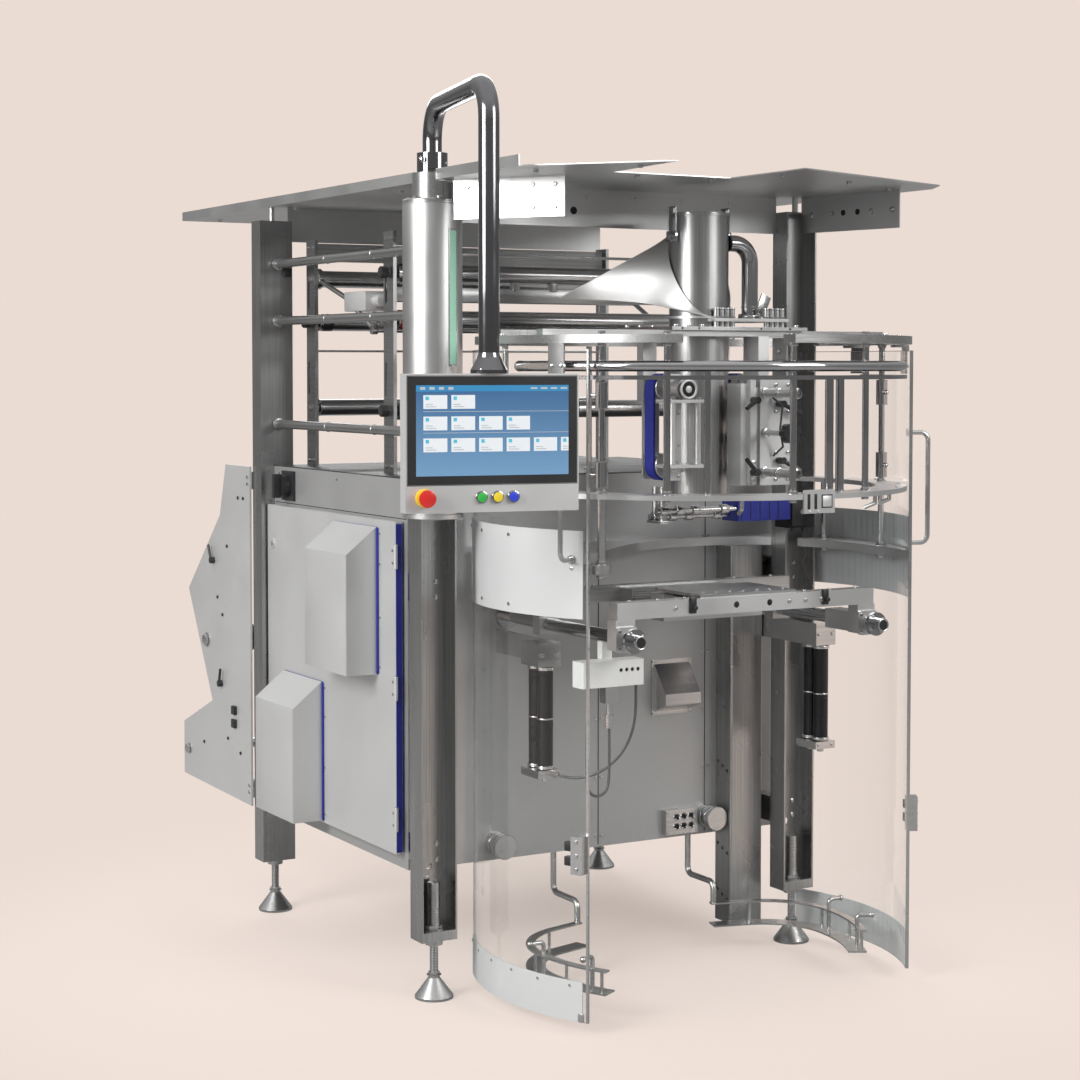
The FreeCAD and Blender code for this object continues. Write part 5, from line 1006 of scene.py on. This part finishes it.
class FormingDetails(Assembly):
    """Toggle latches, pipe flange, rims and studs of the forming set."""

    def build(self) -> None:
        """Makes the forming set's details."""
        toggles = Piece("tube_toggles")
        for sign in (-1.0, 1.0):
            x = 662.0 + sign * 81.0
            toggles.bar([(x, -222.0, 1942.0), (x, -222.0, 2004.0), (x, -188.0, 2004.0),
                         (x, -188.0, 1942.0)], 2.6)
            toggles.box((x - 6.0, -226.0, 1916.0), (x + 6.0, -184.0, 1944.0), edge=1.5)
            toggles.rod((x - 8.0, -205.0, 1930.0), (x + 8.0, -205.0, 1930.0), 4.0)
        toggles.hoop((662.0, -205.0, 1988.0), (0.0, 0.0, 1.0), 78.0, 2.4, sides=72)
        toggles.hoop((662.0, -205.0, 1264.0), (0.0, 0.0, 1.0), 75.4, 1.4, sides=72)
        self.keep(toggles, "polished_with_painted_dark_reflection", "polished")
        flange = Piece("pipe_flange")
        flange.rod((800.0, -235.0, 1721.0), (800.0, -235.0, 1731.0), 30.0, sides=36, edge=1.2)
        flange.hoop((800.0, -235.0, 1752.0), (0.0, 0.0, 1.0), 21.2, 1.6, sides=32)
        flange.box((-15.0, -3.0, 0.0), (15.0, 3.0, 56.0), Matrix.Translation((822.0, -246.0, 1731.0))
                   @ Matrix.Rotation(math.radians(24.0), 4, "Y"), edge=1.0)
        for degrees in (45, 135, 225, 315):
            flange.nut(on_circle(25.0, degrees, 1731.0, (800.0, -235.0)), (0.0, 0.0, 1.0), 4.0, 4.0)
        self.keep(flange, "turned_steel")
        knobs = Piece("clamp_knobs")
        for x in (655.0, 810.0):
            for i in range(4):
                at = x + i * 16.0
                knobs.rod((at, -296.0, 1743.0), (at, -296.0, 1748.0), 7.4, sides=18, edge=1.2)
                knobs.rod((at, -296.0, 1722.0), (at, -296.0, 1726.0), 8.6, sides=6)
        for x in (520.0, 560.0, 600.0, 890.0):
            for y in (-315.0, -85.0):
                knobs.screw((x, y, 1699.0), (0.0, 0.0, 1.0), 6.0, 6.0)
        for x in (850.0,):
            for y in (-290.0, -150.0):
                knobs.screw((x, y, 1721.0), (0.0, 0.0, 1.0), 6.0, 6.0)
        self.keep(knobs, "turned_steel")
        # Near-black discs: painted shade standing in for the dark inside the former plate's holes.
        front = Piece("former_front_holes")
        for x in (530.0, 580.0, 770.0, 860.0):
            front.rod((x, -330.4, 1694.5), (x, -329.0, 1694.5), 2.8, sides=14)
        self.keep(front, "near_black_and_painted_hole_shade", "black_plastic")


class DriveDetails(Assembly):
    """Belt teeth, pulley faces, levers and wire of the film drives and the vertical sealer."""

    def belt(self, side: int) -> None:
        """Adds one belt's teeth on its inner side and its pulleys' faces.

        Args:
            side: 1 for the right unit, -1 for the left.
        """
        x = 662.0 + side * 113.5
        teeth = Piece(f"belt_teeth_{'right' if side > 0 else 'left'}")
        for z in range(1352, 1544, 8):
            for edge in (-1.0, 1.0):
                teeth.box((x + edge * 31.0 - 1.2, -224.0, float(z)), (x + edge * 31.0 + 1.2, -186.0, z + 4.0))
        for centre, first in ((1544.0, 0), (1346.0, 180)):
            for degrees in range(first + 6, first + 180, 14):
                turn = math.radians(degrees)
                spot = (x + 36.8 * math.cos(turn), -205.0, centre + 36.8 * math.sin(turn))
                teeth.box((-1.0, -19.5, -1.6), (0.6, 19.5, 1.6),
                          Matrix.Translation(spot) @ Matrix.Rotation(-turn, 4, "Y"))
        self.keep(teeth, "blue_rubber", "blue_seal")
        faces = Piece(f"pulley_faces_{'right' if side > 0 else 'left'}")
        for z in (1346.0, 1544.0):
            faces.rod((x, -260.0, z), (x, -268.0, z), 15.0, sides=30, edge=1.5)
            faces.nut((x, -268.0, z), (0.0, -1.0, 0.0), 8.0, 6.0)
            faces.hoop((x, -226.0, z), (0.0, 1.0, 0.0), 30.0, 1.6, sides=36)
        for z in (1320.0, 1400.0, 1480.0, 1570.0):
            for dx in (-16.0, 16.0):
                faces.screw((x + dx, -260.0, z), (0.0, -1.0, 0.0), 4.0, 3.0)
        self.keep(faces, "turned_steel")

    def wheel(self) -> None:
        """Adds the left unit's roller disc, ring pulley and frame screws."""
        x = 548.5
        disc = Piece("ring_wheel")
        disc.hoop((x, -331.0, 1542.0), (0.0, 1.0, 0.0), 22.0, 3.4, sides=40)
        disc.rod((x, -320.0, 1542.0), (x, -333.0, 1542.0), 9.0, sides=24, edge=1.0)
        self.keep(disc, "door_sheet")
        dark = Piece("ring_wheel_centre")
        dark.rod((x, -329.0, 1542.0), (x, -331.0, 1542.0), 19.0, sides=36)
        self.keep(dark, "near_black_and_painted_hole_shade", "black_plastic")
        screws = Piece("drive_frame_screws")
        for z in (1353.0, 1516.0):
            for dx in (-38.0, 38.0):
                screws.nut((x + dx, -316.0, z), (0.0, 0.0, 1.0), 8.0, 6.0)
                screws.screw((x + dx * 0.5, -290.0, z), (0.0, 0.0, 1.0), 4.0, 3.5)
        self.keep(screws, "turned_steel")

    def sealer(self) -> None:
        """Adds the sealer's screws, stud collars, wire and dark motor."""
        bolts = Piece("sealer_bolts")
        for z in (1312.0, 1380.0, 1484.0, 1552.0):
            for x in (790.0, 828.0):
                bolts.screw((x, -366.0, z), (0.0, -1.0, 0.0), 5.0, 4.0)
        for z in (1332.0, 1532.0):
            for out in (0.0, 60.0, 132.0):
                bolts.rod((756.0, -366.0 - out, z), (756.0, -374.0 - out, z), 14.0, sides=28, edge=1.2)
            bolts.nut((756.0, -500.0, z), (0.0, -1.0, 0.0), 7.0, 5.0)
        bolts.nut((756.0, -484.0, 1432.0), (0.0, -1.0, 0.0), 7.0, 5.0)
        bolts.rod((756.0, -366.0, 1432.0), (756.0, -378.0, 1432.0), 12.0, sides=28, edge=1.2)
        for z in (1298.0, 1340.0):
            bolts.box((712.0, -372.0, z + 4.0), (728.0, -366.0, z + 22.0), edge=1.0)
        self.keep(bolts, "turned_steel")
        wire = Piece("sealer_wire")
        wire.bar([(776.0, -372.0, 1520.0), (790.0, -396.0, 1500.0), (772.0, -410.0, 1440.0),
                  (792.0, -396.0, 1396.0), (778.0, -372.0, 1372.0)], 2.6, 12)
        self.keep(wire, "black_cover", "black_plastic")
        back = Piece("sealer_rear_parts")
        for z in (1330.0, 1412.0, 1506.0):
            back.rod((784.0, -326.0, z), (784.0, -240.0, z), 13.0, sides=24, edge=1.5)
            back.box((768.0, -300.0, z - 18.0), (800.0, -268.0, z + 18.0), edge=2.0)
        back.rod((818.0, -320.0, 1320.0), (818.0, -320.0, 1545.0), 9.0, sides=20)
        self.keep(back, "turned_steel")
        block = Piece("sealer_dark_blocks")
        block.box((806.0, -296.0, 1356.0), (838.0, -262.0, 1398.0), edge=2.0)
        block.box((806.0, -296.0, 1452.0), (838.0, -262.0, 1494.0), edge=2.0)
        for z, drop in ((1360.0, -26.0), (1504.0, -26.0)):
            block.rod((800.0, -384.0, z), (846.0, -398.0, z + drop), 5.0, sides=16, end_radius=7.0)
            block.rod((800.0, -366.0, z), (800.0, -390.0, z), 9.0, sides=20)
        self.keep(block, "black_cover", "black_plastic")
        motor = Piece("sealer_motor")
        motor.box((846.0, -352.0, 1400.0), (857.0, -300.0, 1500.0), edge=2.0)
        motor.box((800.0, -350.0, 1512.0), (850.0, -306.0, 1548.0), edge=3.0)
        self.keep(motor, "black_anodised", "black_anodised")

    def build(self) -> None:
        """Makes both belts' details, the wheel and the sealer's."""
        self.belt(-1)
        self.belt(1)
        self.wheel()
        self.sealer()


class JawDetails(Assembly):
    """Screws, clamps and serrations of the cross sealing jaws and their lifts."""

    def build(self) -> None:
        """Makes the jaws' details."""
        screws = Piece("jaw_plate_screws")
        for x in (278.0, 1002.0):
            for dx in (-22.0, 22.0):
                for dz in (-22.0, 22.0):
                    screws.screw((x + dx, -478.0, 945.0 + dz), (0.0, -1.0, 0.0), 4.2, 3.0)
        for x in (420.0, 470.0, 760.0, 810.0, 860.0):
            screws.screw((x, -470.0, 1012.0), (0.0, -1.0, 0.0), 5.0, 3.5)
        for x in (300.0, 380.0, 460.0, 820.0, 900.0, 980.0):
            screws.screw((x, -450.0, 1033.0), (0.0, 0.0, 1.0), 5.0, 3.5)
        for x in range(520, 770, 40):
            screws.screw((float(x), -440.0, 1041.0), (0.0, 0.0, 1.0), 4.0, 2.5)
        self.keep(screws, "turned_steel", "brushed_steel", "front_jaw_set")
        clamps = Piece("bar_clamps")
        for x in (470.0, 870.0):
            clamps.box((x - 9.0, -476.0, 998.0), (x + 9.0, -466.0, 1037.0), edge=2.0)
            clamps.rod((x, -474.0, 1012.0), (x, -486.0, 1012.0), 6.0, sides=20, edge=1.0)
        self.keep(clamps, "black_cover", "black_plastic", "front_jaw_set")
        teeth = Piece("front_jaw_lines")
        for z in range(966, 1024, 6):
            teeth.box((492.0, -250.4, float(z)), (788.0, -249.2, z + 3.0))
        self.keep(teeth, "turned_steel", "brushed_steel", "front_jaw_set")
        rear = Piece("rear_jaw_lines")
        for z in range(966, 1024, 6):
            rear.box((492.0, -160.8, float(z)), (788.0, -159.6, z + 3.0))
        for x in (300.0, 420.0, 860.0, 980.0):
            rear.screw((x, -82.0, 1033.0), (0.0, 0.0, 1.0), 5.0, 3.5)
        self.keep(rear, "turned_steel", "brushed_steel", "rear_jaw_set")
        # Near-black plugs: painted shade standing in for the dark inside the shaft bores.
        bores = Piece("shaft_bores")
        for x in (278.0, 1002.0):
            bores.rod((x, -539.0, 945.0), (x, -520.0, 945.0), 11.8, sides=30)
        self.keep(bores, "near_black_and_painted_hole_shade", "black_plastic")
        collars = Piece("shaft_collar_screws")
        for x in (278.0, 1002.0):
            for degrees in range(30, 390, 90):
                turn = math.radians(degrees)
                collars.screw((x + 23.0 * math.cos(turn), -514.0, 945.0 + 23.0 * math.sin(turn)),
                              (0.0, -1.0, 0.0), 3.6, 2.6)
            collars.hoop((x, -538.6, 945.0), (0.0, 1.0, 0.0), 15.2, 1.8, sides=32)
        self.keep(collars, "turned_steel")
        lifts = Piece("lift_fittings")
        for x in (227.0, 1083.0):
            for y in (-172.0, -128.0):
                for z, r in ((592.0, 23.0), (840.0, 23.0), (716.0, 21.4)):
                    lifts.rod((x, y, z), (x, y, z + (8.0 if r > 22 else 4.0)), r, sides=32, edge=1.0)
                lifts.rod((x, y, 560.0), (x, y, 570.0), 9.0, sides=20, edge=1.0)
            for dx in (-22.0, 22.0):
                lifts.screw((x + dx, -194.0, 880.0), (0.0, -1.0, 0.0), 5.0, 4.0)
                lifts.screw((x + dx, -194.0, 580.0), (0.0, -1.0, 0.0), 4.0, 3.0)
        self.keep(lifts, "turned_steel")


class RoofDetails(Assembly):
    """Studs, holes and bolts of the roof sheets."""

    def build(self) -> None:
        """Makes the roof's details."""
        studs = Piece("roof_studs")
        for x, y in ((60.0, -420.0), (210.0, -640.0), (340.0, -420.0), (560.0, -410.0), (640.0, -600.0),
                     (900.0, -520.0), (1120.0, -400.0), (60.0, 300.0), (560.0, 300.0), (640.0, 300.0),
                     (1180.0, 300.0), (60.0, 1000.0), (560.0, 1000.0), (640.0, 1000.0), (1180.0, 1000.0),
                     (60.0, 1600.0), (560.0, 1600.0), (640.0, 1600.0), (1180.0, 1600.0)):
            studs.nut((x, y, 2060.0), (0.0, 0.0, -1.0), 6.0, 7.0)
            studs.rod((x, y, 2063.0), (x, y, 2066.0), 7.0, sides=20, edge=1.0)
        self.keep(studs, "turned_steel")
        tabs = Piece("valance_bolts")
        length = math.hypot(1183.0 - 1115.0, -368.0 + 32.5)
        along = Vector(((1183.0 - 1115.0) / length, (-368.0 + 32.5) / length, 0.0))
        out = Vector((along.y, -along.x, 0.0))
        for step in (40.0, 110.0, 250.0, 320.0):
            spot = Vector((1115.0, -32.5, 2011.0)) + along * step + out * 2.0
            tabs.nut(tuple(spot), tuple(out), 7.0, 6.0)
        first = Vector((24.6, -71.2, 0.0))
        line = (Vector((195.0, -324.0, 0.0)) - first).normalized()
        side = Vector((line.y, -line.x, 0.0))
        for step in (40.0, 120.0, 220.0, 280.0):
            for z in (1985.0, 2040.0):
                tabs.screw(tuple(first + line * step + side * 2.0 + Vector((0, 0, z))), tuple(side), 5.0, 3.0)
        for x in range(160, 1060, 150):
            tabs.screw((float(x), 18.0, 2040.0), (0.0, -1.0, 0.0), 5.0, 3.0)
        self.keep(tabs, "turned_steel")
        # Near-black discs: painted shade standing in for the dark inside the valance holes.
        holes = Piece("valance_holes")
        for step in (150.0, 200.0):
            spot = Vector((1115.0, -32.5, 2011.0)) + along * step + out * 1.6
            holes.rod(tuple(spot), tuple(spot + out), 8.0, sides=24)
        for x in (420.0, 820.0):
            holes.rod((x, 17.4, 2004.0), (x, 18.6, 2004.0), 10.0, sides=28)
        self.keep(holes, "near_black_and_painted_hole_shade", "black_plastic")


class FilmDetails(Assembly):
    """Collars, tinted roller, bolts and cross bars of the film path."""

    def build(self) -> None:
        """Makes the film path's details."""
        caps = Piece("roller_caps")
        for y in (390.0, 905.0):
            for z in (1480.0, 1725.0, 1850.0):
                for x, sign in ((75.0, 1.0), (1040.0, -1.0)):
                    caps.rod((x + sign * 2.0, y, z), (x + sign * 10.0, y, z), 14.0, sides=24, edge=1.0)
                    caps.nut((x - sign * 10.0, y, z), (-sign, 0.0, 0.0), 9.0, 6.0)
                for x in (88.0, 1027.0):
                    caps.hoop((x, y, z), (1.0, 0.0, 0.0), 23.6, 1.2, sides=32)
        for x in (70.0, 1045.0):
            for y in (375.0, 405.0, 890.0, 920.0):
                side = -1.0 if x < 500 else 1.0
                for z in (1330.0, 1940.0):
                    caps.screw((x + side * 5.0, y, z), (side, 0.0, 0.0), 5.0, 3.5)
        self.keep(caps, "turned_steel")
        grip = Piece("red_roller_cover")
        grip.rod((92.0, 390.0, 1725.0), (214.0, 390.0, 1725.0), 25.4, sides=36, edge=1.0)
        self.keep(grip, "red_rubber", "black_plastic")
        rails = Piece("rail_collars")
        for z in (1432.0, 1730.0, 1895.0):
            for y in (84.0, 986.0):
                rails.rod((0.0, y, z), (0.0, y + 14.0, z), 18.0, sides=28, edge=1.5)
            for y in (340.0, 640.0):
                rails.hoop((0.0, y, z), (0.0, 1.0, 0.0), 13.0, 1.0, sides=24)
        self.keep(rails, "turned_steel")
        dark = Piece("film_path_grips")
        for y, z in ((390.0, 1850.0), (905.0, 1725.0), (390.0, 1480.0)):
            dark.rod((62.0, y, z), (40.0, y, z), 16.0, sides=8, edge=2.0)
            dark.rod((96.0, y, z), (128.0, y, z), 24.6, sides=32, edge=1.0)
        dark.box((20.0, 992.0, 1858.0), (44.0, 1010.0, 1884.0), edge=3.0)
        self.keep(dark, "black_cover", "black_plastic")
        motor = Piece("dancer_box")
        motor.box((76.0, 560.0, 1752.0), (150.0, 700.0, 1806.0), edge=3.0)
        motor.rod((112.0, 560.0, 1780.0), (112.0, 520.0, 1780.0), 18.0, sides=28, edge=1.5)
        self.keep(motor, "door_sheet", "white_panel")
        arms = Piece("dancer_arms")
        for x in (84.0, 1031.0):
            arms.bar([(x, 900.0, 1850.0), (x, 700.0, 1790.0), (x, 520.0, 1700.0)], 7.0)
            arms.rod((x - 8.0, 520.0, 1700.0), (x + 8.0, 520.0, 1700.0), 14.0, sides=24, edge=1.0)
            arms.rod((x - 8.0, 900.0, 1850.0), (x + 8.0, 900.0, 1850.0), 30.0, sides=24, edge=1.0)
        arms.rod((84.0, 520.0, 1700.0), (1031.0, 520.0, 1700.0), 9.0, sides=20)
        arms.rod((84.0, 700.0, 1790.0), (1031.0, 700.0, 1790.0), 9.0, sides=20)
        self.keep(arms, "turned_steel")
        bars = Piece("film_cross_bars")
        bars.box((75.0, 372.0, 1900.0), (1040.0, 408.0, 1906.0), edge=0.8)
        bars.box((75.0, 887.0, 1640.0), (1040.0, 923.0, 1646.0), edge=0.8)
        bars.box((75.0, 386.0, 1774.0), (1040.0, 394.0, 1812.0), edge=1.0)
        bars.box((75.0, 898.0, 1900.0), (1040.0, 908.0, 1952.0), edge=1.0)
        for x in (440.0, 560.0):
            bars.box((x, 380.0, 1806.0), (x + 22.0, 400.0, 1846.0), edge=2.0)
        bars.box((440.0, 382.0, 1838.0), (582.0, 398.0, 1852.0), edge=2.0)
        self.keep(bars, "satin_across")


class ReelDetails(Assembly):
    """Levers, latches, clamps and nuts of the reel carrier."""

    def build(self) -> None:
        """Makes the reel carrier's details."""
        nuts = Piece("reel_nuts")
        for x, side in ((-60.0, -1.0), (1175.0, 1.0)):
            for y, z, r in ((1420.0, 760.0, 18.0), (1580.0, 400.0, 14.0)):
                nuts.nut((x, y, z), (side, 0.0, 0.0), r, 12.0)
            for y, z in ((1083.0, 345.0), (1083.0, 365.0), (1083.0, 1255.0), (1083.0, 1275.0)):
                nuts.screw((x, y, z), (side, 0.0, 0.0), 5.0, 4.0)
        self.keep(nuts, "turned_steel")
        levers = Piece("reel_levers")
        for x, side in ((-60.0, -1.0), (1175.0, 1.0)):
            for y, z, lean in ((1360.0, 1010.0, 0.5), (1300.0, 640.0, -0.5)):
                levers.rod((x, y, z), (x + side * 14.0, y, z), 10.0, sides=20, edge=1.0)
                levers.bar([(x + side * 10.0, y, z), (x + side * 12.0, y + 34.0 * lean, z + 46.0)], 4.0)
            for z in (520.0, 560.0):
                levers.box((min(x, x + side * 10.0), 1180.0, z), (max(x, x + side * 10.0), 1206.0, z + 26.0),
                           edge=2.0)
        self.keep(levers, "black_cover", "black_plastic")
        dots = Piece("reel_plate_screws")
        for x, side in ((-60.0, -1.0), (1175.0, 1.0)):
            for y, z in ((1120.0, 1210.0), (1160.0, 1210.0), (1250.0, 1060.0), (1330.0, 900.0),
                         (1290.0, 850.0), (1250.0, 480.0), (1150.0, 450.0), (1450.0, 440.0)):
                dots.screw((x, y, z), (side, 0.0, 0.0), 5.0, 3.5)
        self.keep(dots, "black_cover", "black_plastic")
        shaft = Piece("reel_shaft_cones")
        for x, end in ((60.0, 96.0), (1055.0, 1019.0)):
            shaft.rod((x, 1420.0, 760.0), (end, 1420.0, 760.0), 58.0, sides=40, end_radius=34.0, edge=1.5)
        self.keep(shaft, "black_anodised", "black_anodised")


@dataclass
class Cables(Assembly):
    """The two free cables, on the same control points as the CAD tubes."""

    SENSOR = ((0.217, -0.4025, 0.827), (0.214, -0.404, 0.782), (0.210, -0.406, 0.738),
              (0.208, -0.407, 0.694), (0.208, -0.407, 0.652), (0.209, -0.4065, 0.614),
              (0.210, -0.406, 0.590), (0.2142, -0.4055, 0.5745), (0.2255, -0.405, 0.5632),
              (0.241, -0.404, 0.559), (0.2565, -0.4035, 0.5632), (0.2678, -0.403, 0.5745),
              (0.272, -0.4025, 0.590), (0.2735, -0.4025, 0.614), (0.274, -0.4025, 0.650),
              (0.274, -0.4025, 0.684), (0.273, -0.4025, 0.723))
    LIFT = ((0.350, -0.402, 0.827), (0.351, -0.402, 0.780), (0.350, -0.398, 0.734),
            (0.343, -0.388, 0.690), (0.329, -0.371, 0.651), (0.309, -0.347, 0.618),
            (0.285, -0.318, 0.595), (0.262, -0.286, 0.583), (0.246, -0.255, 0.580),
            (0.240, -0.224, 0.580))

    def line(self, name: str, points: Sequence[Point], node: str) -> bpy.types.Object:
        """Makes one cable as a smooth spline.

        Args:
            name: the piece's name.
            points: its control points, in metres.
            node: the CAD node that it stands for.

        Returns:
            The cable.
        """
        data = bpy.data.curves.new(name, "CURVE")
        data.dimensions = "3D"
        data.bevel_depth = 0.0035
        data.bevel_resolution = 4
        data.use_fill_caps = True
        data.resolution_u = 8
        spline = data.splines.new("NURBS")
        spline.points.add(len(points) - 1)
        for spot, place in zip(spline.points, points):
            spot.co = (*place, 1.0)
        spline.order_u = 3
        spline.use_endpoint_u = True
        data.materials.append(self.palette["grey_sheath"])
        cable = bpy.data.objects.new(name, data)
        bpy.context.scene.collection.objects.link(cable)
        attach(cable, "machine")
        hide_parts(node)
        self.made.append(cable)
        return cable

    def build(self) -> None:
        sensor = self.line("sensor_cord", self.SENSOR, "sensor_cable")
        self.SENSOR[0]
        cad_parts["cable_plug"]
        lift = self.line("lift_cord", self.LIFT, "lift_cable")
        self.LIFT[0]


NODE_FINISH: dict[str, str] = {
    "levelling_feet": "satin_across", "front_left_post": "satin_upright",
    "front_right_post": "satin_upright", "rear_posts": "satin_upright",
    "round_column": "column_sheet", "column_light": "mint_lens", "column_cap": "satin_across",
    "arm_collars": "chrome_with_painted_dark_reflection", "panel_arm": "chrome_with_painted_dark_reflection", "panel_housing": "door_sheet",
    "panel_glass": "black_cover", "panel_buttons": "turned_steel", "cabinet_body": "wall_sheet",
    "side_door": "door_sheet", "side_door_hoods": "door_sheet", "side_door_seals": "blue_rubber",
    "main_switch": "black_cover", "left_guard_glass": "clear_sheet",
    "right_guard_glass": "clear_sheet", "left_guard_bands": "skirt_sheet",
    "right_guard_bands": "skirt_sheet", "left_guard_fittings": "turned_steel",
    "right_guard_fittings": "turned_steel", "upper_guard_ring": "satin_across",
    "guard_rails": "polished_with_painted_dark_reflection", "cage_rods": "turned_steel", "lower_guard_rings": "blasted_sheet",
    "floor_guides": "satin_across", "box_column": "satin_upright", "forming_tube": "satin_upright",
    "former_plates": "satin_across", "gas_pipe": "polished_with_painted_dark_reflection", "forming_shoulder": "blasted_sheet",
    "film_drives": "blasted_sheet", "drive_belts": "blue_rubber", "vertical_sealer": "blasted_sheet",
    "sealer_knobs": "black_cover", "front_jaw": "blasted_sheet", "front_jaw_plate": "satin_across",
    "rear_jaw": "satin_across", "jaw_shafts": "polished_with_painted_dark_reflection", "lift_cylinders": "black_anodised",
    "lift_heads": "turned_steel", "cable_box": "white_box", "cable_plug": "turned_steel",
    "sensor_cable": "grey_sheath", "lift_cable": "grey_sheath", "cabinet_fittings": "turned_steel",
    "roof_left": "blasted_sheet", "roof_right": "blasted_sheet", "roof_valances": "blasted_sheet",
    "film_frame": "satin_deep", "film_rollers": "turned_steel", "reel_side_plates": "door_sheet",
    "reel_shaft_and_bars": "turned_steel", "post_brackets": "satin_upright",
    "cooler_box": "blue_paint", "cooler_motor": "black_anodised",
}


def dress_nodes(palette: Palette) -> None:
    """Gives every CAD node its finish through the node's own material slots."""
    for name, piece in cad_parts.items():
        finish = palette[NODE_FINISH[name]]
        if not piece.material_slots:
            piece.data.materials.append(finish)
        for holder in piece.material_slots:
            holder.material = finish
    LOG.info("dressed %d nodes", len(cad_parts))


def main() -> None:
    """Builds the studio and the machine in order."""
    logging.basicConfig(level=logging.INFO)
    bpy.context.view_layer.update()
    Studio().build()
    palette = Palette()
    dress_nodes(palette)
    kinds = (Cables, PanelDetails, ColumnDetails, FrameDetails, CabinetDetails, SideDoorDetails,
             GuardDoorDetails, CageDetails, LinkDetails, FormingDetails, DriveDetails, JawDetails, RoofDetails,
             FilmDetails, ReelDetails)
    for kind in kinds:
        assembly = kind(palette)
        assembly.build()
        for piece in assembly.made:
            LOG.info("%s: %s", kind.__name__, piece.name)


if __name__ == "__main__":
    main()
